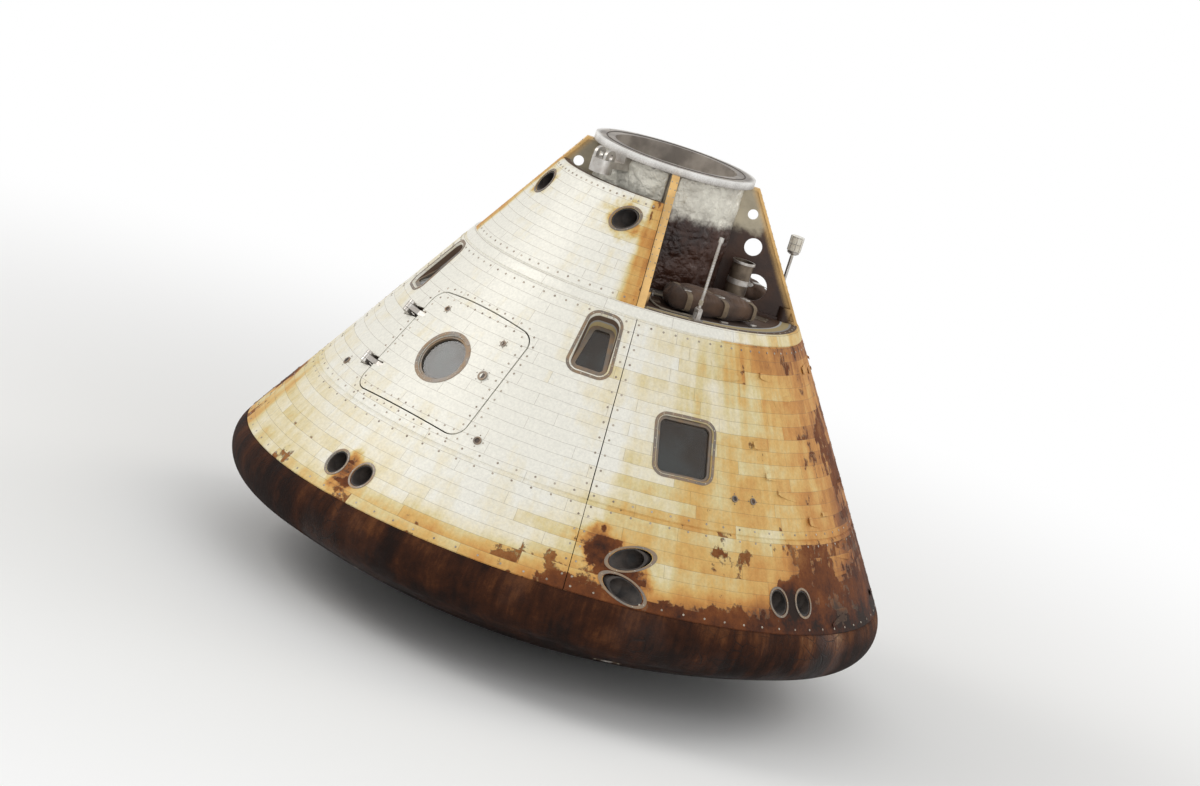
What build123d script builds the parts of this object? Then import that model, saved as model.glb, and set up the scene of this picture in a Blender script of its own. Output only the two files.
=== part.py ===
"""Three-crew conical space capsule as it comes down after re-entry, standing on its heat shield.

The nose cover has gone and the parachute bays around the tunnel are open. Sizes are in
millimetres. +Z runs up the capsule's axis and the origin is the lowest point of the aft heat
shield. The side hatch faces -Y and the crew's right is +X. An azimuth is an angle around the
axis: 0 on the hatch side, 90 at +X, 180 opposite the hatch.
"""

import os
from math import asin, cos, degrees, pi, radians, sin, sqrt, tan

from build123d import *

# Outer mould line
MAX_DIAMETER = 3912.0
DISH_RADIUS = 4694.0
CORNER_RADIUS = 195.6
CONE_HALF_ANGLE = 33.0

# Rises from one horizontal join to the next, from the rounded corner to the tunnel's top
PARTING_RISE = 15.0
LOWER_RISE = 452.0
WALL_RISE = 931.0
RING_RISE = 60.0
TUNNEL_RISE = 736.0

# Walls and the gaps between them
SHIELD_WALL = 62.0
LOWER_WALL = 60.0
CABIN_WALL = 110.0
SEAM = 4.0
GROOVE = 7.0
FIT = 0.3
REACH = 400.0

# Plugs under the heat shield, where the service section was bolted on, set in from its corner
PAD_INSET = 260.4
PAD_RADIUS = 95.0
PAD_SINK = 4.0
PAD_SEAT = 34.0
TIE_HOLE_RADIUS = 19.0
PAD_COUNT = 6

# Cabin floor, below the heat shield's rim, and side wall
FLOOR_DROP = 255.9
FLOOR_WALL = 40.0
TUB_WALL = 40.0
TUB_RIM = 50.0

# Forward deck and tunnel, whose flange is set in from the mould line
RING_WIDTH = 117.0
LEDGE = 30.0
DECK_WALL = 40.0
TUNNEL_WALL = 30.0
TUNNEL_FOOT = 45.0
FOOT_WALL = 20.0
LIP_WIDTH = 30.0
LIP_HEIGHT = 100.0
FLANGE_INSET = 19.64
FLANGE_OVERHANG = 55.0
FLANGE_WALL = 40.0
FLANGE_BOLTS = 12
FLANGE_BOLT_RADIUS = 7.0

# Gussets between the parachute bays
GUSSET_WIDTH = 44.0
GUSSET_WEB = 10.0
GUSSET_RIM = 16.0
GUSSET_HOLE_LOW = 78.0
GUSSET_HOLE_MIDDLE = 52.0
GUSSET_HOLE_HIGH = 30.0
TOWER_INSET = 103.61
TOWER_FOOT_RADIUS = 40.0
TOWER_FOOT_RISE = 82.0
TOWER_HOLE_RADIUS = 16.0
TOWER_HOLE_DEPTH = 60.0

# Side hatch
HATCH_RISE = 394.0
HATCH_HEIGHT = 737.0
HATCH_FOOT = 880.0
HATCH_HEAD = 800.0
HATCH_CORNER = 90.0
HATCH_GAP = 8.0
HATCH_WALL = 104.0
HATCH_PAN = 85.0
HATCH_RIM = 70.0
HATCH_LIP = 22.0
HATCH_DRAFT = 8.0
FRAME_WALL = 25.0

# Side hatch hinge
HINGE_OFFSET = 55.0
HINGE_SINK = 45.0
HINGE_SPREAD = 190.0
HINGE_KNUCKLE = 20.0
HINGE_PIN = 10.0
HINGE_PIN_GAP = 0.5
STRAP_WIDTH = 30.0
STRAP_REACH = 80.0
STRAP_SINK = 95.0
STRAP_WALL = 30.0
LUG_SINK = 112.0
LUG_EAR = 18.0
LUG_GAP = 2.0

# Windows
PANE_WALL = 14.0
HATCH_WINDOW = 150.0
SIDE_WINDOW = 340.0
SIDE_WINDOW_CORNER = 55.0
SIDE_WINDOW_AZIMUTH = 64.0
SIDE_WINDOW_RISE = 370.0
SIDE_WINDOW_SINK = 20.0
SIDE_FRAME_WALL = 60.0
FORWARD_WINDOW_AZIMUTH = 36.0
FORWARD_WINDOW_RISE = 735.0
FORWARD_WINDOW_HEIGHT = 320.0
FORWARD_WINDOW_FOOT = 215.0
FORWARD_WINDOW_HEAD = 140.0
FORWARD_WINDOW_CORNER = 45.0
FORWARD_WINDOW_SINK = 46.0
FORWARD_WINDOW_TILT = 12.0
SPLAY = 30.0
FORWARD_FRAME_WALL = 24.0
WINDOW_BORDER = 32.0
WINDOW_REBATE = 14.0

# Attitude engines
NOZZLE_RADIUS = 61.0
NOZZLE_WALL = 7.0
NOZZLE_CLEARANCE = 1.0
CHAMBER_RADIUS = 36.0
THROAT_RADIUS = 14.0
NOZZLE_SINK = 2.0
BELL_STRAIGHT = 40.0
BELL_LENGTH = 160.0
CHAMBER_LENGTH = 45.0
LOWER_ENGINE_RISE = 154.0
LOWER_ENGINE_SPREAD = 210.0
ROLL_AZIMUTH = 55.0
ROLL_SPREAD = 150.0
ROLL_ANGLE = 35.0
UPPER_ENGINE_RISE = 406.0
UPPER_ENGINE_GAP = 11.37
ENGINE_PANEL_RISE = 540.0
ENGINE_PANEL_WALL = 45.0

# Optics and umbilical plates on the side away from the hatch
OPTICS_RISE = 440.0
OPTICS_WIDTH = 560.0
OPTICS_HEIGHT = 330.0
OPTICS_SINK = 62.0
TELESCOPE_RADIUS = 55.0
SEXTANT_RADIUS = 75.0
UMBILICAL_RISE = 190.0
UMBILICAL_WIDTH = 520.0
UMBILICAL_HEIGHT = 270.0
UMBILICAL_SINK = 42.0
PLATE_WALL = 18.0
CONNECTOR_RADIUS = 26.0
CONNECTOR_RISE = 20.0

# Parachute gear, stood off the tunnel or its flange
DROGUE_RADIUS = 92.0
DROGUE_HEIGHT = 330.0
DROGUE_SPREAD = 330.0
DROGUE_STANDOFF = 125.0
PILOT_RADIUS = 62.0
PILOT_HEIGHT = 290.0
PILOT_STANDOFF = 140.0
PILOT_ANGLE = 31.0
MORTAR_WALL = 6.0
ANCHOR_ARM_WIDTH = 130.0
ANCHOR_ARM_HEIGHT = 80.0
ANCHOR_STANDOFF = 105.0
ANCHOR_POT_RADIUS = 66.0
ANCHOR_POT_HEIGHT = 120.0
ANCHOR_GAP = 60.0
ANCHOR_EAR = 20.0
ANCHOR_EAR_WIDTH = 80.0
ANCHOR_BORE_RADIUS = 18.0
BAG_STANDOFF = 70.0
BAG_MARGIN = 30.6
BAG_HEIGHT = 130.0
BAG_START_ANGLE = -37.0
BAG_SWEEP_ANGLE = 57.0

# Recovery masts, each hinged on a bracket that stands on the forward ring
MAST_INSET = 72.61
MAST_ANGLE = 24.0
MAST_PIVOT = 60.0
MAST_PIN = 6.0
MAST_KNUCKLE = 15.0
MAST_KNUCKLE_WIDTH = 20.0
MAST_GAP = 1.5
BRACKET_EAR = 8.0
BRACKET_WIDTH = 60.0
BRACKET_FOOT = 10.0
ANTENNA_LENGTH = 400.0
ANTENNA_RADIUS = 9.0
ANTENNA_TIP = 14.0
BEACON_LENGTH = 300.0
LAMP_RADIUS = 38.0
LAMP_HEIGHT = 90.0

# Tunnel hatch
TUNNEL_HATCH_GAP = 10.0
TUNNEL_HATCH_WALL = 26.0
TUNNEL_HATCH_RIM = 55.0
TUNNEL_HATCH_SEAT = 0.3
TUNNEL_GEARBOX = 85.0

# Cabin furniture, with margins to the tub's wall and to the ring's ledge
COUCH_PITCH = 620.0
COUCH_WIDTH = 540.0
COUCH_PAD = 74.0
COUCH_RISE = 465.0
COUCH_MARGIN = 194.27
COUCH_HEAD = 900.0
COUCH_THIGH = 400.0
COUCH_SHIN = 430.0
BEAM_SIDE = 44.0
BEAM_SPAN = 1720.0
HEAD_BEAM_BACK = 760.0
HIP_BEAM_BACK = 130.0
POST_RADIUS = 24.0
POST_SPREAD = 1480.0
CONSOLE_STANDOFF = 5.0
CONSOLE_DEPTH = 190.0
CONSOLE_MARGIN = 21.4
CONSOLE_DROP = 390.0
RACK_WIDTH = 330.0
RACK_GAP = 22.0
RACK_MARGIN = 79.54
RACK_DEPTH = 400.0
RACK_HEIGHT = 600.0
CABINET_WALL = 15.0

# Worked out from the sizes above
SLOPE_SIN = sin(radians(CONE_HALF_ANGLE))
SLOPE_COS = cos(radians(CONE_HALF_ANGLE))
SLOPE_TAN = tan(radians(CONE_HALF_ANGLE))
CORNER_R = MAX_DIAMETER / 2 - CORNER_RADIUS
CORNER_Z = DISH_RADIUS - sqrt((DISH_RADIUS - CORNER_RADIUS) ** 2 - CORNER_R**2)
CORNER_TOP_Z = CORNER_Z + CORNER_RADIUS * SLOPE_SIN
APEX_Z = CORNER_TOP_Z + (CORNER_R + CORNER_RADIUS * SLOPE_COS) / SLOPE_TAN
PARTING_Z = CORNER_TOP_Z + PARTING_RISE
GIRTH_Z = PARTING_Z + LOWER_RISE
WALL_TOP_Z = GIRTH_Z + WALL_RISE
DECK_Z = WALL_TOP_Z + RING_RISE
TUNNEL_TOP_Z = DECK_Z + TUNNEL_RISE
QUARTERS = {"hatch_side": 0.0, "right": 90.0, "rear": 180.0, "left": 270.0}
BAYS = (90.0, 180.0, 270.0)
UP = Vector(0, 0, 1)


def mould_radius(z, depth=0.0):
    """Radius of the cone at a height, sunk below the mould line by a depth."""
    return (APEX_Z - z) * SLOPE_TAN - depth / SLOPE_COS


# Circles and places that follow the cone
PAD_R = CORNER_R - PAD_INSET
TUB_INNER = mould_radius(GIRTH_Z, CABIN_WALL) - LEDGE
FLOOR_Z = PARTING_Z - FLOOR_DROP
FLOOR_TOP_Z = FLOOR_Z + FLOOR_WALL
RING_INNER = mould_radius(DECK_Z) - RING_WIDTH
TOWER_R = mould_radius(DECK_Z) - TOWER_INSET
MAST_R = mould_radius(DECK_Z) - MAST_INSET
FLANGE_RADIUS = mould_radius(TUNNEL_TOP_Z) - FLANGE_INSET
TUNNEL_OUTER = FLANGE_RADIUS - FLANGE_OVERHANG
TUNNEL_BORE = TUNNEL_OUTER - TUNNEL_WALL
LIP_BORE = TUNNEL_BORE - LIP_WIDTH
TUNNEL_HATCH_RADIUS = TUNNEL_BORE - TUNNEL_HATCH_GAP
DROGUE_DISTANCE = TUNNEL_OUTER + DROGUE_STANDOFF
PILOT_DISTANCE = TUNNEL_OUTER + PILOT_STANDOFF
ANCHOR_DISTANCE = FLANGE_RADIUS + ANCHOR_STANDOFF


def outward(azimuth):
    """Level direction away from the axis."""
    return Vector(sin(radians(azimuth)), -cos(radians(azimuth)), 0)


def upright_plane(azimuth):
    """Plane through the axis: local x is the radius and local y the height."""
    return Plane(origin=(0, 0, 0), x_dir=outward(azimuth), z_dir=outward(azimuth).cross(UP))


def skin_plane(azimuth, z, depth=0.0):
    """Plane lying on the cone: z points out of it, x runs around it and y runs up it."""
    normal = outward(azimuth) * SLOPE_COS + UP * SLOPE_SIN
    point = outward(azimuth) * mould_radius(z) + UP * z - normal * depth
    return Plane(origin=point, x_dir=UP.cross(outward(azimuth)), z_dir=normal)


def tilted(plane, angle):
    """The plane with its normal leaning towards its own y direction."""
    lean = radians(angle)
    normal = plane.z_dir * cos(lean) + plane.y_dir * sin(lean)
    return Plane(origin=plane.origin, x_dir=plane.x_dir, z_dir=normal)


def shield_points(depth):
    """Outline of the dish and its corner, sunk by a depth: two arcs' ends and middles."""
    dish = DISH_RADIUS - depth
    corner = CORNER_RADIUS - depth
    lean = asin(CORNER_R / (DISH_RADIUS - CORNER_RADIUS))
    low, high = lean - pi / 2, radians(CONE_HALF_ANGLE)
    on_dish = [(dish * sin(a), DISH_RADIUS - dish * cos(a)) for a in (0, lean / 2, lean)]
    turns = ((low + high) / 2, high)
    on_corner = [(CORNER_R + corner * cos(a), CORNER_Z + corner * sin(a)) for a in turns]
    return on_dish + on_corner


def band_points(low, high, depth):
    """Section of a conical band with a groove along both outer edges."""
    return [
        (mould_radius(low) - GROOVE, low),
        (mould_radius(low + GROOVE), low + GROOVE),
        (mould_radius(high - GROOVE), high - GROOVE),
        (mould_radius(high) - GROOVE, high),
        (mould_radius(high, depth), high),
        (mould_radius(low, depth), low),
    ]


def hatch_outline(plane, grow=0.0):
    """Tapered side hatch with rounded corners, larger all round by a margin."""
    foot, head, half = HATCH_FOOT / 2 + grow, HATCH_HEAD / 2 + grow, HATCH_HEIGHT / 2 + grow
    with BuildSketch(plane) as outline:
        with BuildLine():
            Polyline((-foot, -half), (foot, -half), (head, half), (-head, half), close=True)
        make_face()
        fillet(outline.vertices(), max(HATCH_CORNER + grow, HATCH_CORNER / 4))
    return outline.sketch


def hatch_prism(grow=0.0):
    """Solid through the wall behind the hatch's outline, drawing in with depth."""
    slope = tan(radians(HATCH_DRAFT))
    with BuildPart() as prism:
        ends = [
            hatch_outline(HATCH_PLANE.offset(level), grow + level * slope)
            for level in (HATCH_GAP, -REACH)
        ]
        loft(ends, ruled=True)
    return prism.part


def side_window_outline(plane, grow=0.0):
    """Square side window with rounded corners."""
    side = SIDE_WINDOW + 2 * grow
    with BuildSketch(plane) as outline:
        RectangleRounded(side, side, SIDE_WINDOW_CORNER + grow)
    return outline.sketch


def forward_window_outline(plane, grow=0.0, lift=0.0):
    """Forward window, narrower at its head, with rounded corners."""
    foot, head = FORWARD_WINDOW_FOOT / 2 + grow, FORWARD_WINDOW_HEAD / 2 + grow
    low, high = -FORWARD_WINDOW_HEIGHT / 2 - grow, FORWARD_WINDOW_HEIGHT / 2 + grow + lift
    with BuildSketch(plane) as outline:
        with BuildLine():
            Polyline((-foot, low), (foot, low), (head, high), (-head, high), close=True)
        make_face()
        fillet(outline.vertices(), FORWARD_WINDOW_CORNER + grow)
    return outline.sketch


def engine(point, exhaust):
    """Plane across an engine's bell: its origin is in the mouth and y is the exhaust."""
    across = UP if abs(exhaust.dot(UP)) < 0.5 else Vector(1, 0, 0)
    return Plane(origin=point, x_dir=across, z_dir=across.cross(exhaust))


def lower_engine_plane(azimuth, shift, lift, turn):
    """Engine in the lower band: shift moves it around, lift up, turn swings its exhaust."""
    z = PARTING_Z + LOWER_ENGINE_RISE + lift
    out, around = outward(azimuth), UP.cross(outward(azimuth))
    flat = sqrt(mould_radius(z) ** 2 - shift**2)
    lean = radians(turn)
    return engine(out * flat + around * shift + UP * z, out * cos(lean) + around * sin(lean))


# Engines by group: the quarter they are in and the plane across each bell
HALF_SPREAD = LOWER_ENGINE_SPREAD / 2
ROLL_TURN = 90.0 - ROLL_ANGLE
ROLL_LIFTS = ((ROLL_SPREAD, -ROLL_TURN), (0.0, ROLL_TURN))
LOWER_ENGINES = {
    "pitch_engines_lower": [
        ("hatch_side", lower_engine_plane(0, s * HALF_SPREAD, 0, 0)) for s in (-1, 1)
    ],
    "yaw_engines": [
        (quarter, lower_engine_plane(QUARTERS[quarter], s * HALF_SPREAD, 0, 0))
        for quarter in ("right", "left")
        for s in (-1, 1)
    ],
    "roll_engines": [
        (quarter, lower_engine_plane(azimuth, 0, lift - ROLL_SPREAD / 2, turn))
        for quarter, azimuth in (("right", ROLL_AZIMUTH), ("left", -ROLL_AZIMUTH))
        for lift, turn in ROLL_LIFTS
    ],
}
UPPER_ENGINE_Z = DECK_Z + UPPER_ENGINE_RISE
# each upper engine's chamber clears the gusset beside it: mouth's depth less its side distance
UPPER_LEAD = BELL_LENGTH + CHAMBER_LENGTH
UPPER_LEAD += sqrt(2) * (CHAMBER_RADIUS + GUSSET_WIDTH / 2 + UPPER_ENGINE_GAP)
UPPER_ENGINE_X = (sqrt(2 * mould_radius(UPPER_ENGINE_Z) ** 2 - UPPER_LEAD**2) - UPPER_LEAD) / 2
UPPER_ENGINES = [
    engine(
        Vector(s * UPPER_ENGINE_X, -UPPER_ENGINE_X - UPPER_LEAD, UPPER_ENGINE_Z), Vector(0, -1, 0)
    )
    for s in (-1, 1)
]

# Bell section: (radius, distance out of the mouth) from the chamber to the mouth and back
BELL_END = -BELL_LENGTH
BELL_POINTS = [
    (0, BELL_END - CHAMBER_LENGTH),
    (CHAMBER_RADIUS, BELL_END - CHAMBER_LENGTH),
    (CHAMBER_RADIUS, BELL_END),
    (NOZZLE_RADIUS, -BELL_STRAIGHT),
    (NOZZLE_RADIUS, REACH / 2),
    (NOZZLE_RADIUS - NOZZLE_WALL, REACH / 2),
    (NOZZLE_RADIUS - NOZZLE_WALL, -BELL_STRAIGHT),
    (THROAT_RADIUS, BELL_END + NOZZLE_WALL),
    (0, BELL_END + NOZZLE_WALL),
]

# Planes of the openings in the cabin wall
HATCH_Z = GIRTH_Z + HATCH_RISE
HATCH_PLANE = skin_plane(0, HATCH_Z)
SIDE_WINDOW_PLANES = [
    skin_plane(side * SIDE_WINDOW_AZIMUTH, GIRTH_Z + SIDE_WINDOW_RISE, SIDE_WINDOW_SINK)
    for side in (-1, 1)
]
FORWARD_WINDOW_SKINS = [
    skin_plane(side * FORWARD_WINDOW_AZIMUTH, GIRTH_Z + FORWARD_WINDOW_RISE) for side in (-1, 1)
]
FORWARD_WINDOW_PLANES = [
    tilted(skin.offset(-FORWARD_WINDOW_SINK), FORWARD_WINDOW_TILT) for skin in FORWARD_WINDOW_SKINS
]

# Hinge of the side hatch, in planes across the hinge line: local x is right, y is out
HINGE_X = -(HATCH_FOOT / 2 + HINGE_OFFSET)
HINGE_PLANES = [
    Plane(
        origin=HATCH_PLANE.origin + HATCH_PLANE.y_dir * side * HINGE_SPREAD,
        x_dir=HATCH_PLANE.x_dir,
        z_dir=HATCH_PLANE.y_dir * -1,
    )
    for side in (-1, 1)
]

pieces = []


def dish_plugs(low, high, radius):
    """Upright plugs around the dish, between two depths below its surface."""
    with BuildPart() as plugs:
        outer, inner = shield_points(low), shield_points(high)
        with BuildSketch(Plane.XZ):
            with BuildLine():
                ThreePointArc(outer[0], outer[1], outer[2])
                Line(outer[2], inner[2])
                ThreePointArc(inner[2], inner[1], inner[0])
                Line(inner[0], outer[0])
            make_face()
        revolve(axis=Axis.Z)
        with BuildSketch(Plane.XY.offset(min(outer[0][1], 0) - 1)):
            with PolarLocations(PAD_R, PAD_COUNT, start_angle=90):
                Circle(radius)
        extrude(amount=MAX_DIAMETER, mode=Mode.INTERSECT)
    return plugs.part


def tie_holes():
    """Upright bores for the tie bolts, through the pads and the dish behind them."""
    with BuildPart() as bores:
        with BuildSketch(Plane.XY):
            with PolarLocations(PAD_R, PAD_COUNT, start_angle=90):
                Circle(TIE_HOLE_RADIUS)
        extrude(amount=PARTING_Z)
    return bores.part


def keep(builder, name):
    """Labels a finished piece and lists it for writing."""
    builder.part.label = name
    pieces.append(builder.part)


# Cutters shared by neighbouring pieces
pad_seats = dish_plugs(-REACH, PAD_SEAT, PAD_RADIUS + FIT)
pads = dish_plugs(PAD_SINK, PAD_SEAT - FIT, PAD_RADIUS)
tie_bores = tie_holes()
doorway = hatch_prism(HATCH_GAP)
hatch_blank = hatch_prism()
lip_outside = hatch_prism(2 * HATCH_LIP)
lip_inside = hatch_prism(-HATCH_LIP)

# Aft heat shield: a spherical dish that turns through a rounded corner into the cone
with BuildPart() as aft_heat_shield:
    with BuildSketch(Plane.XZ):
        with BuildLine():
            outer, inner = shield_points(0), shield_points(SHIELD_WALL)
            ThreePointArc(outer[0], outer[1], outer[2])
            ThreePointArc(outer[2], outer[3], outer[4])
            Polyline(
                outer[4],
                (mould_radius(PARTING_Z - GROOVE), PARTING_Z - GROOVE),
                (mould_radius(PARTING_Z) - GROOVE, PARTING_Z),
                (mould_radius(PARTING_Z, SHIELD_WALL), PARTING_Z),
                inner[4],
            )
            ThreePointArc(inner[4], inner[3], inner[2])
            ThreePointArc(inner[2], inner[1], inner[0])
            Line(inner[0], outer[0])
        make_face()
    revolve(axis=Axis.Z)
    add(pad_seats, mode=Mode.SUBTRACT)
    add(tie_bores, mode=Mode.SUBTRACT)
keep(aft_heat_shield, "aft_heat_shield")

# Shear and tension pads: hard plugs let into the dish, each with a tie-bolt hole
with BuildPart() as shear_pads:
    add(pads)
    add(tie_bores, mode=Mode.SUBTRACT)
keep(shear_pads, "shear_pads")

# Lower band: four removable panels around the aft compartment
for quarter, middle in QUARTERS.items():
    with BuildPart() as lower_panel:
        gap = degrees(SEAM / mould_radius(GIRTH_Z))
        with BuildSketch(upright_plane(middle - 45 + gap / 2)):
            with BuildLine():
                Polyline(*band_points(PARTING_Z, GIRTH_Z, LOWER_WALL), close=True)
            make_face()
        revolve(axis=Axis.Z, revolution_arc=90 - gap)
        for group in LOWER_ENGINES.values():
            for place in [plane for home, plane in group if home == quarter]:
                mouth = Plane(origin=place.origin, z_dir=place.y_dir)
                with BuildSketch(mouth.offset(REACH)):
                    Circle(NOZZLE_RADIUS + NOZZLE_CLEARANCE)
                extrude(amount=-REACH - BELL_LENGTH - CHAMBER_LENGTH, mode=Mode.SUBTRACT)
        if quarter == "rear":
            with BuildSketch(skin_plane(middle, PARTING_Z + UMBILICAL_RISE, UMBILICAL_SINK)):
                RectangleRounded(UMBILICAL_WIDTH, UMBILICAL_HEIGHT, UMBILICAL_HEIGHT / 8)
            extrude(amount=REACH, mode=Mode.SUBTRACT)
    keep(lower_panel, f"lower_panel_{quarter}")

# Cabin wall: four quarters of the cone, with the doorway, windows and optics recess cut
for quarter, middle in QUARTERS.items():
    with BuildPart() as cabin_wall:
        gap = degrees(SEAM / mould_radius(WALL_TOP_Z))
        with BuildSketch(upright_plane(middle - 45 + gap / 2)):
            with BuildLine():
                Polyline(*band_points(GIRTH_Z, WALL_TOP_Z, CABIN_WALL), close=True)
            make_face()
        revolve(axis=Axis.Z, revolution_arc=90 - gap)
        if quarter == "hatch_side":
            add(doorway, mode=Mode.SUBTRACT)
            for skin, glass in zip(FORWARD_WINDOW_SKINS, FORWARD_WINDOW_PLANES):
                extrude(forward_window_outline(glass), amount=-REACH / 2, mode=Mode.SUBTRACT)
                mouth = forward_window_outline(skin.offset(FORWARD_WINDOW_SINK), SPLAY, SPLAY)
                loft([forward_window_outline(glass), mouth], ruled=True, mode=Mode.SUBTRACT)
            for place in HINGE_PLANES:
                with BuildSketch(place):
                    with Locations((HINGE_X - HINGE_KNUCKLE * 2.4, -LUG_SINK)):
                        Rectangle(REACH / 2, REACH, align=(Align.MIN, Align.MIN))
                extrude(
                    amount=STRAP_WIDTH / 2 + LUG_GAP + LUG_EAR + LUG_GAP,
                    both=True,
                    mode=Mode.SUBTRACT,
                )
        if quarter in ("right", "left"):
            for glass in SIDE_WINDOW_PLANES:
                extrude(
                    side_window_outline(glass.offset(REACH / 2)),
                    amount=-REACH,
                    mode=Mode.SUBTRACT,
                )
        if quarter == "rear":
            with BuildSketch(skin_plane(middle, GIRTH_Z + OPTICS_RISE, OPTICS_SINK)):
                RectangleRounded(OPTICS_WIDTH, OPTICS_HEIGHT, OPTICS_HEIGHT / 4)
            extrude(amount=REACH, mode=Mode.SUBTRACT)
    keep(cabin_wall, f"cabin_wall_{quarter}")

# Cabin tub: the floor and lower side wall of the pressure cabin, with a rim under the wall
TUB_RIM_OUTER = mould_radius(GIRTH_Z, LOWER_WALL) - LUG_GAP
with BuildPart() as cabin_tub:
    with BuildSketch(Plane.XZ):
        with BuildLine():
            Polyline(
                (0, FLOOR_Z),
                (TUB_INNER + TUB_WALL, FLOOR_Z),
                (TUB_INNER + TUB_WALL, GIRTH_Z - TUB_RIM),
                (TUB_RIM_OUTER, GIRTH_Z - TUB_RIM),
                (TUB_RIM_OUTER, GIRTH_Z),
                (TUB_INNER, GIRTH_Z),
                (TUB_INNER, FLOOR_TOP_Z),
                (0, FLOOR_TOP_Z),
                close=True,
            )
        make_face()
    revolve(axis=Axis.Z)
keep(cabin_tub, "cabin_tub")

# Forward ring: the bright sealing ring that closes the cone's top, with a ledge inside
with BuildPart() as forward_ring:
    with BuildSketch(Plane.XZ):
        with BuildLine():
            Polyline(
                (mould_radius(WALL_TOP_Z) - GROOVE, WALL_TOP_Z),
                (mould_radius(WALL_TOP_Z + GROOVE), WALL_TOP_Z + GROOVE),
                (mould_radius(DECK_Z - GROOVE), DECK_Z - GROOVE),
                (mould_radius(DECK_Z) - GROOVE, DECK_Z),
                (RING_INNER, DECK_Z),
                (RING_INNER, DECK_Z - DECK_WALL),
                (RING_INNER - LEDGE, DECK_Z - DECK_WALL),
                (RING_INNER - LEDGE, WALL_TOP_Z),
                close=True,
            )
        make_face()
    revolve(axis=Axis.Z)
keep(forward_ring, "forward_ring")

# Forward deck: the cabin's roof and the floor of the parachute bays
with BuildPart() as forward_deck:
    with BuildSketch(Plane.XY.offset(DECK_Z - DECK_WALL)):
        Circle(RING_INNER - FIT)
        Circle(TUNNEL_OUTER + FIT, mode=Mode.SUBTRACT)
    extrude(amount=DECK_WALL)
keep(forward_deck, "forward_deck")

# Docking tunnel: a tube that stands on the deck by its foot and ends in a bolted flange
with BuildPart() as docking_tunnel:
    with BuildSketch(Plane.XZ):
        with BuildLine():
            Polyline(
                (TUNNEL_BORE, WALL_TOP_Z),
                (TUNNEL_OUTER, WALL_TOP_Z),
                (TUNNEL_OUTER, DECK_Z),
                (TUNNEL_OUTER + TUNNEL_FOOT, DECK_Z),
                (TUNNEL_OUTER + TUNNEL_FOOT, DECK_Z + FOOT_WALL),
                (TUNNEL_OUTER, DECK_Z + FOOT_WALL),
                (TUNNEL_OUTER, TUNNEL_TOP_Z - FLANGE_WALL),
                (FLANGE_RADIUS, TUNNEL_TOP_Z - FLANGE_WALL),
                (FLANGE_RADIUS, TUNNEL_TOP_Z),
                (LIP_BORE, TUNNEL_TOP_Z),
                (LIP_BORE, TUNNEL_TOP_Z - LIP_HEIGHT),
                (TUNNEL_BORE, TUNNEL_TOP_Z - LIP_HEIGHT),
                close=True,
            )
        make_face()
    revolve(axis=Axis.Z)
    FLANGE_CIRCLE = (TUNNEL_OUTER + FLANGE_RADIUS) / 2
    with Locations(Plane.XY.offset(TUNNEL_TOP_Z)):
        with PolarLocations(FLANGE_CIRCLE, FLANGE_BOLTS, start_angle=15):
            Hole(FLANGE_BOLT_RADIUS, depth=FLANGE_WALL)
keep(docking_tunnel, "docking_tunnel")

# Gussets: four lightened I-section walls between the bays, each with a tower leg's foot
GUSSET_TOP_Z = TUNNEL_TOP_Z - FLANGE_WALL
GUSSET_FOOT = TUNNEL_OUTER + TUNNEL_FOOT + LUG_GAP
TOWER_TOP_Z = DECK_Z + TOWER_FOOT_RISE

# Lightening holes that step up the web: (share of its height, hole radius)
GUSSET_HOLES = ((0.2, GUSSET_HOLE_LOW), (0.52, GUSSET_HOLE_MIDDLE), (0.78, GUSSET_HOLE_HIGH))


def gusset_outline(plane, shrink=0.0):
    """Side of a gusset between the tunnel and the mould line, shrunk all round by a margin."""
    with BuildSketch(plane) as outline:
        with BuildLine():
            Polyline(
                (GUSSET_FOOT, DECK_Z),
                (mould_radius(DECK_Z) - GROOVE, DECK_Z),
                (mould_radius(GUSSET_TOP_Z) - GROOVE, GUSSET_TOP_Z),
                (TUNNEL_OUTER + FIT, GUSSET_TOP_Z),
                (TUNNEL_OUTER + FIT, DECK_Z + FOOT_WALL + GUSSET_RIM),
                (GUSSET_FOOT, DECK_Z + FOOT_WALL + GUSSET_RIM),
                close=True,
            )
        make_face()
        if shrink:
            offset(amount=-shrink, kind=Kind.INTERSECTION, mode=Mode.REPLACE)
    return outline.sketch


with BuildPart() as gussets:
    for azimuth in (45.0, 135.0, 225.0, 315.0):
        wall = upright_plane(azimuth)
        extrude(gusset_outline(wall), amount=GUSSET_WIDTH / 2, both=True)
        pocket = gusset_outline(wall, GUSSET_RIM)
        extrude(pocket, amount=GUSSET_WIDTH / 2, both=True, mode=Mode.SUBTRACT)
        extrude(pocket, amount=GUSSET_WEB / 2, both=True)
        with BuildSketch(Plane.XY.offset(DECK_Z)):
            with Locations(outward(azimuth) * TOWER_R):
                Circle(TOWER_FOOT_RADIUS)
        extrude(amount=TOWER_FOOT_RISE)
        for share, hole in GUSSET_HOLES:
            z = DECK_Z + share * (GUSSET_TOP_Z - DECK_Z)
            middle = (TUNNEL_OUTER + mould_radius(z)) / 2
            with BuildSketch(wall):
                with Locations((middle, z)):
                    Circle(hole)
            extrude(amount=GUSSET_WIDTH, both=True, mode=Mode.SUBTRACT)
        with BuildSketch(Plane.XY.offset(TOWER_TOP_Z)):
            with Locations(outward(azimuth) * TOWER_R):
                Circle(TOWER_HOLE_RADIUS)
        extrude(amount=-TOWER_HOLE_DEPTH, mode=Mode.SUBTRACT)
keep(gussets, "gussets")

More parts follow.
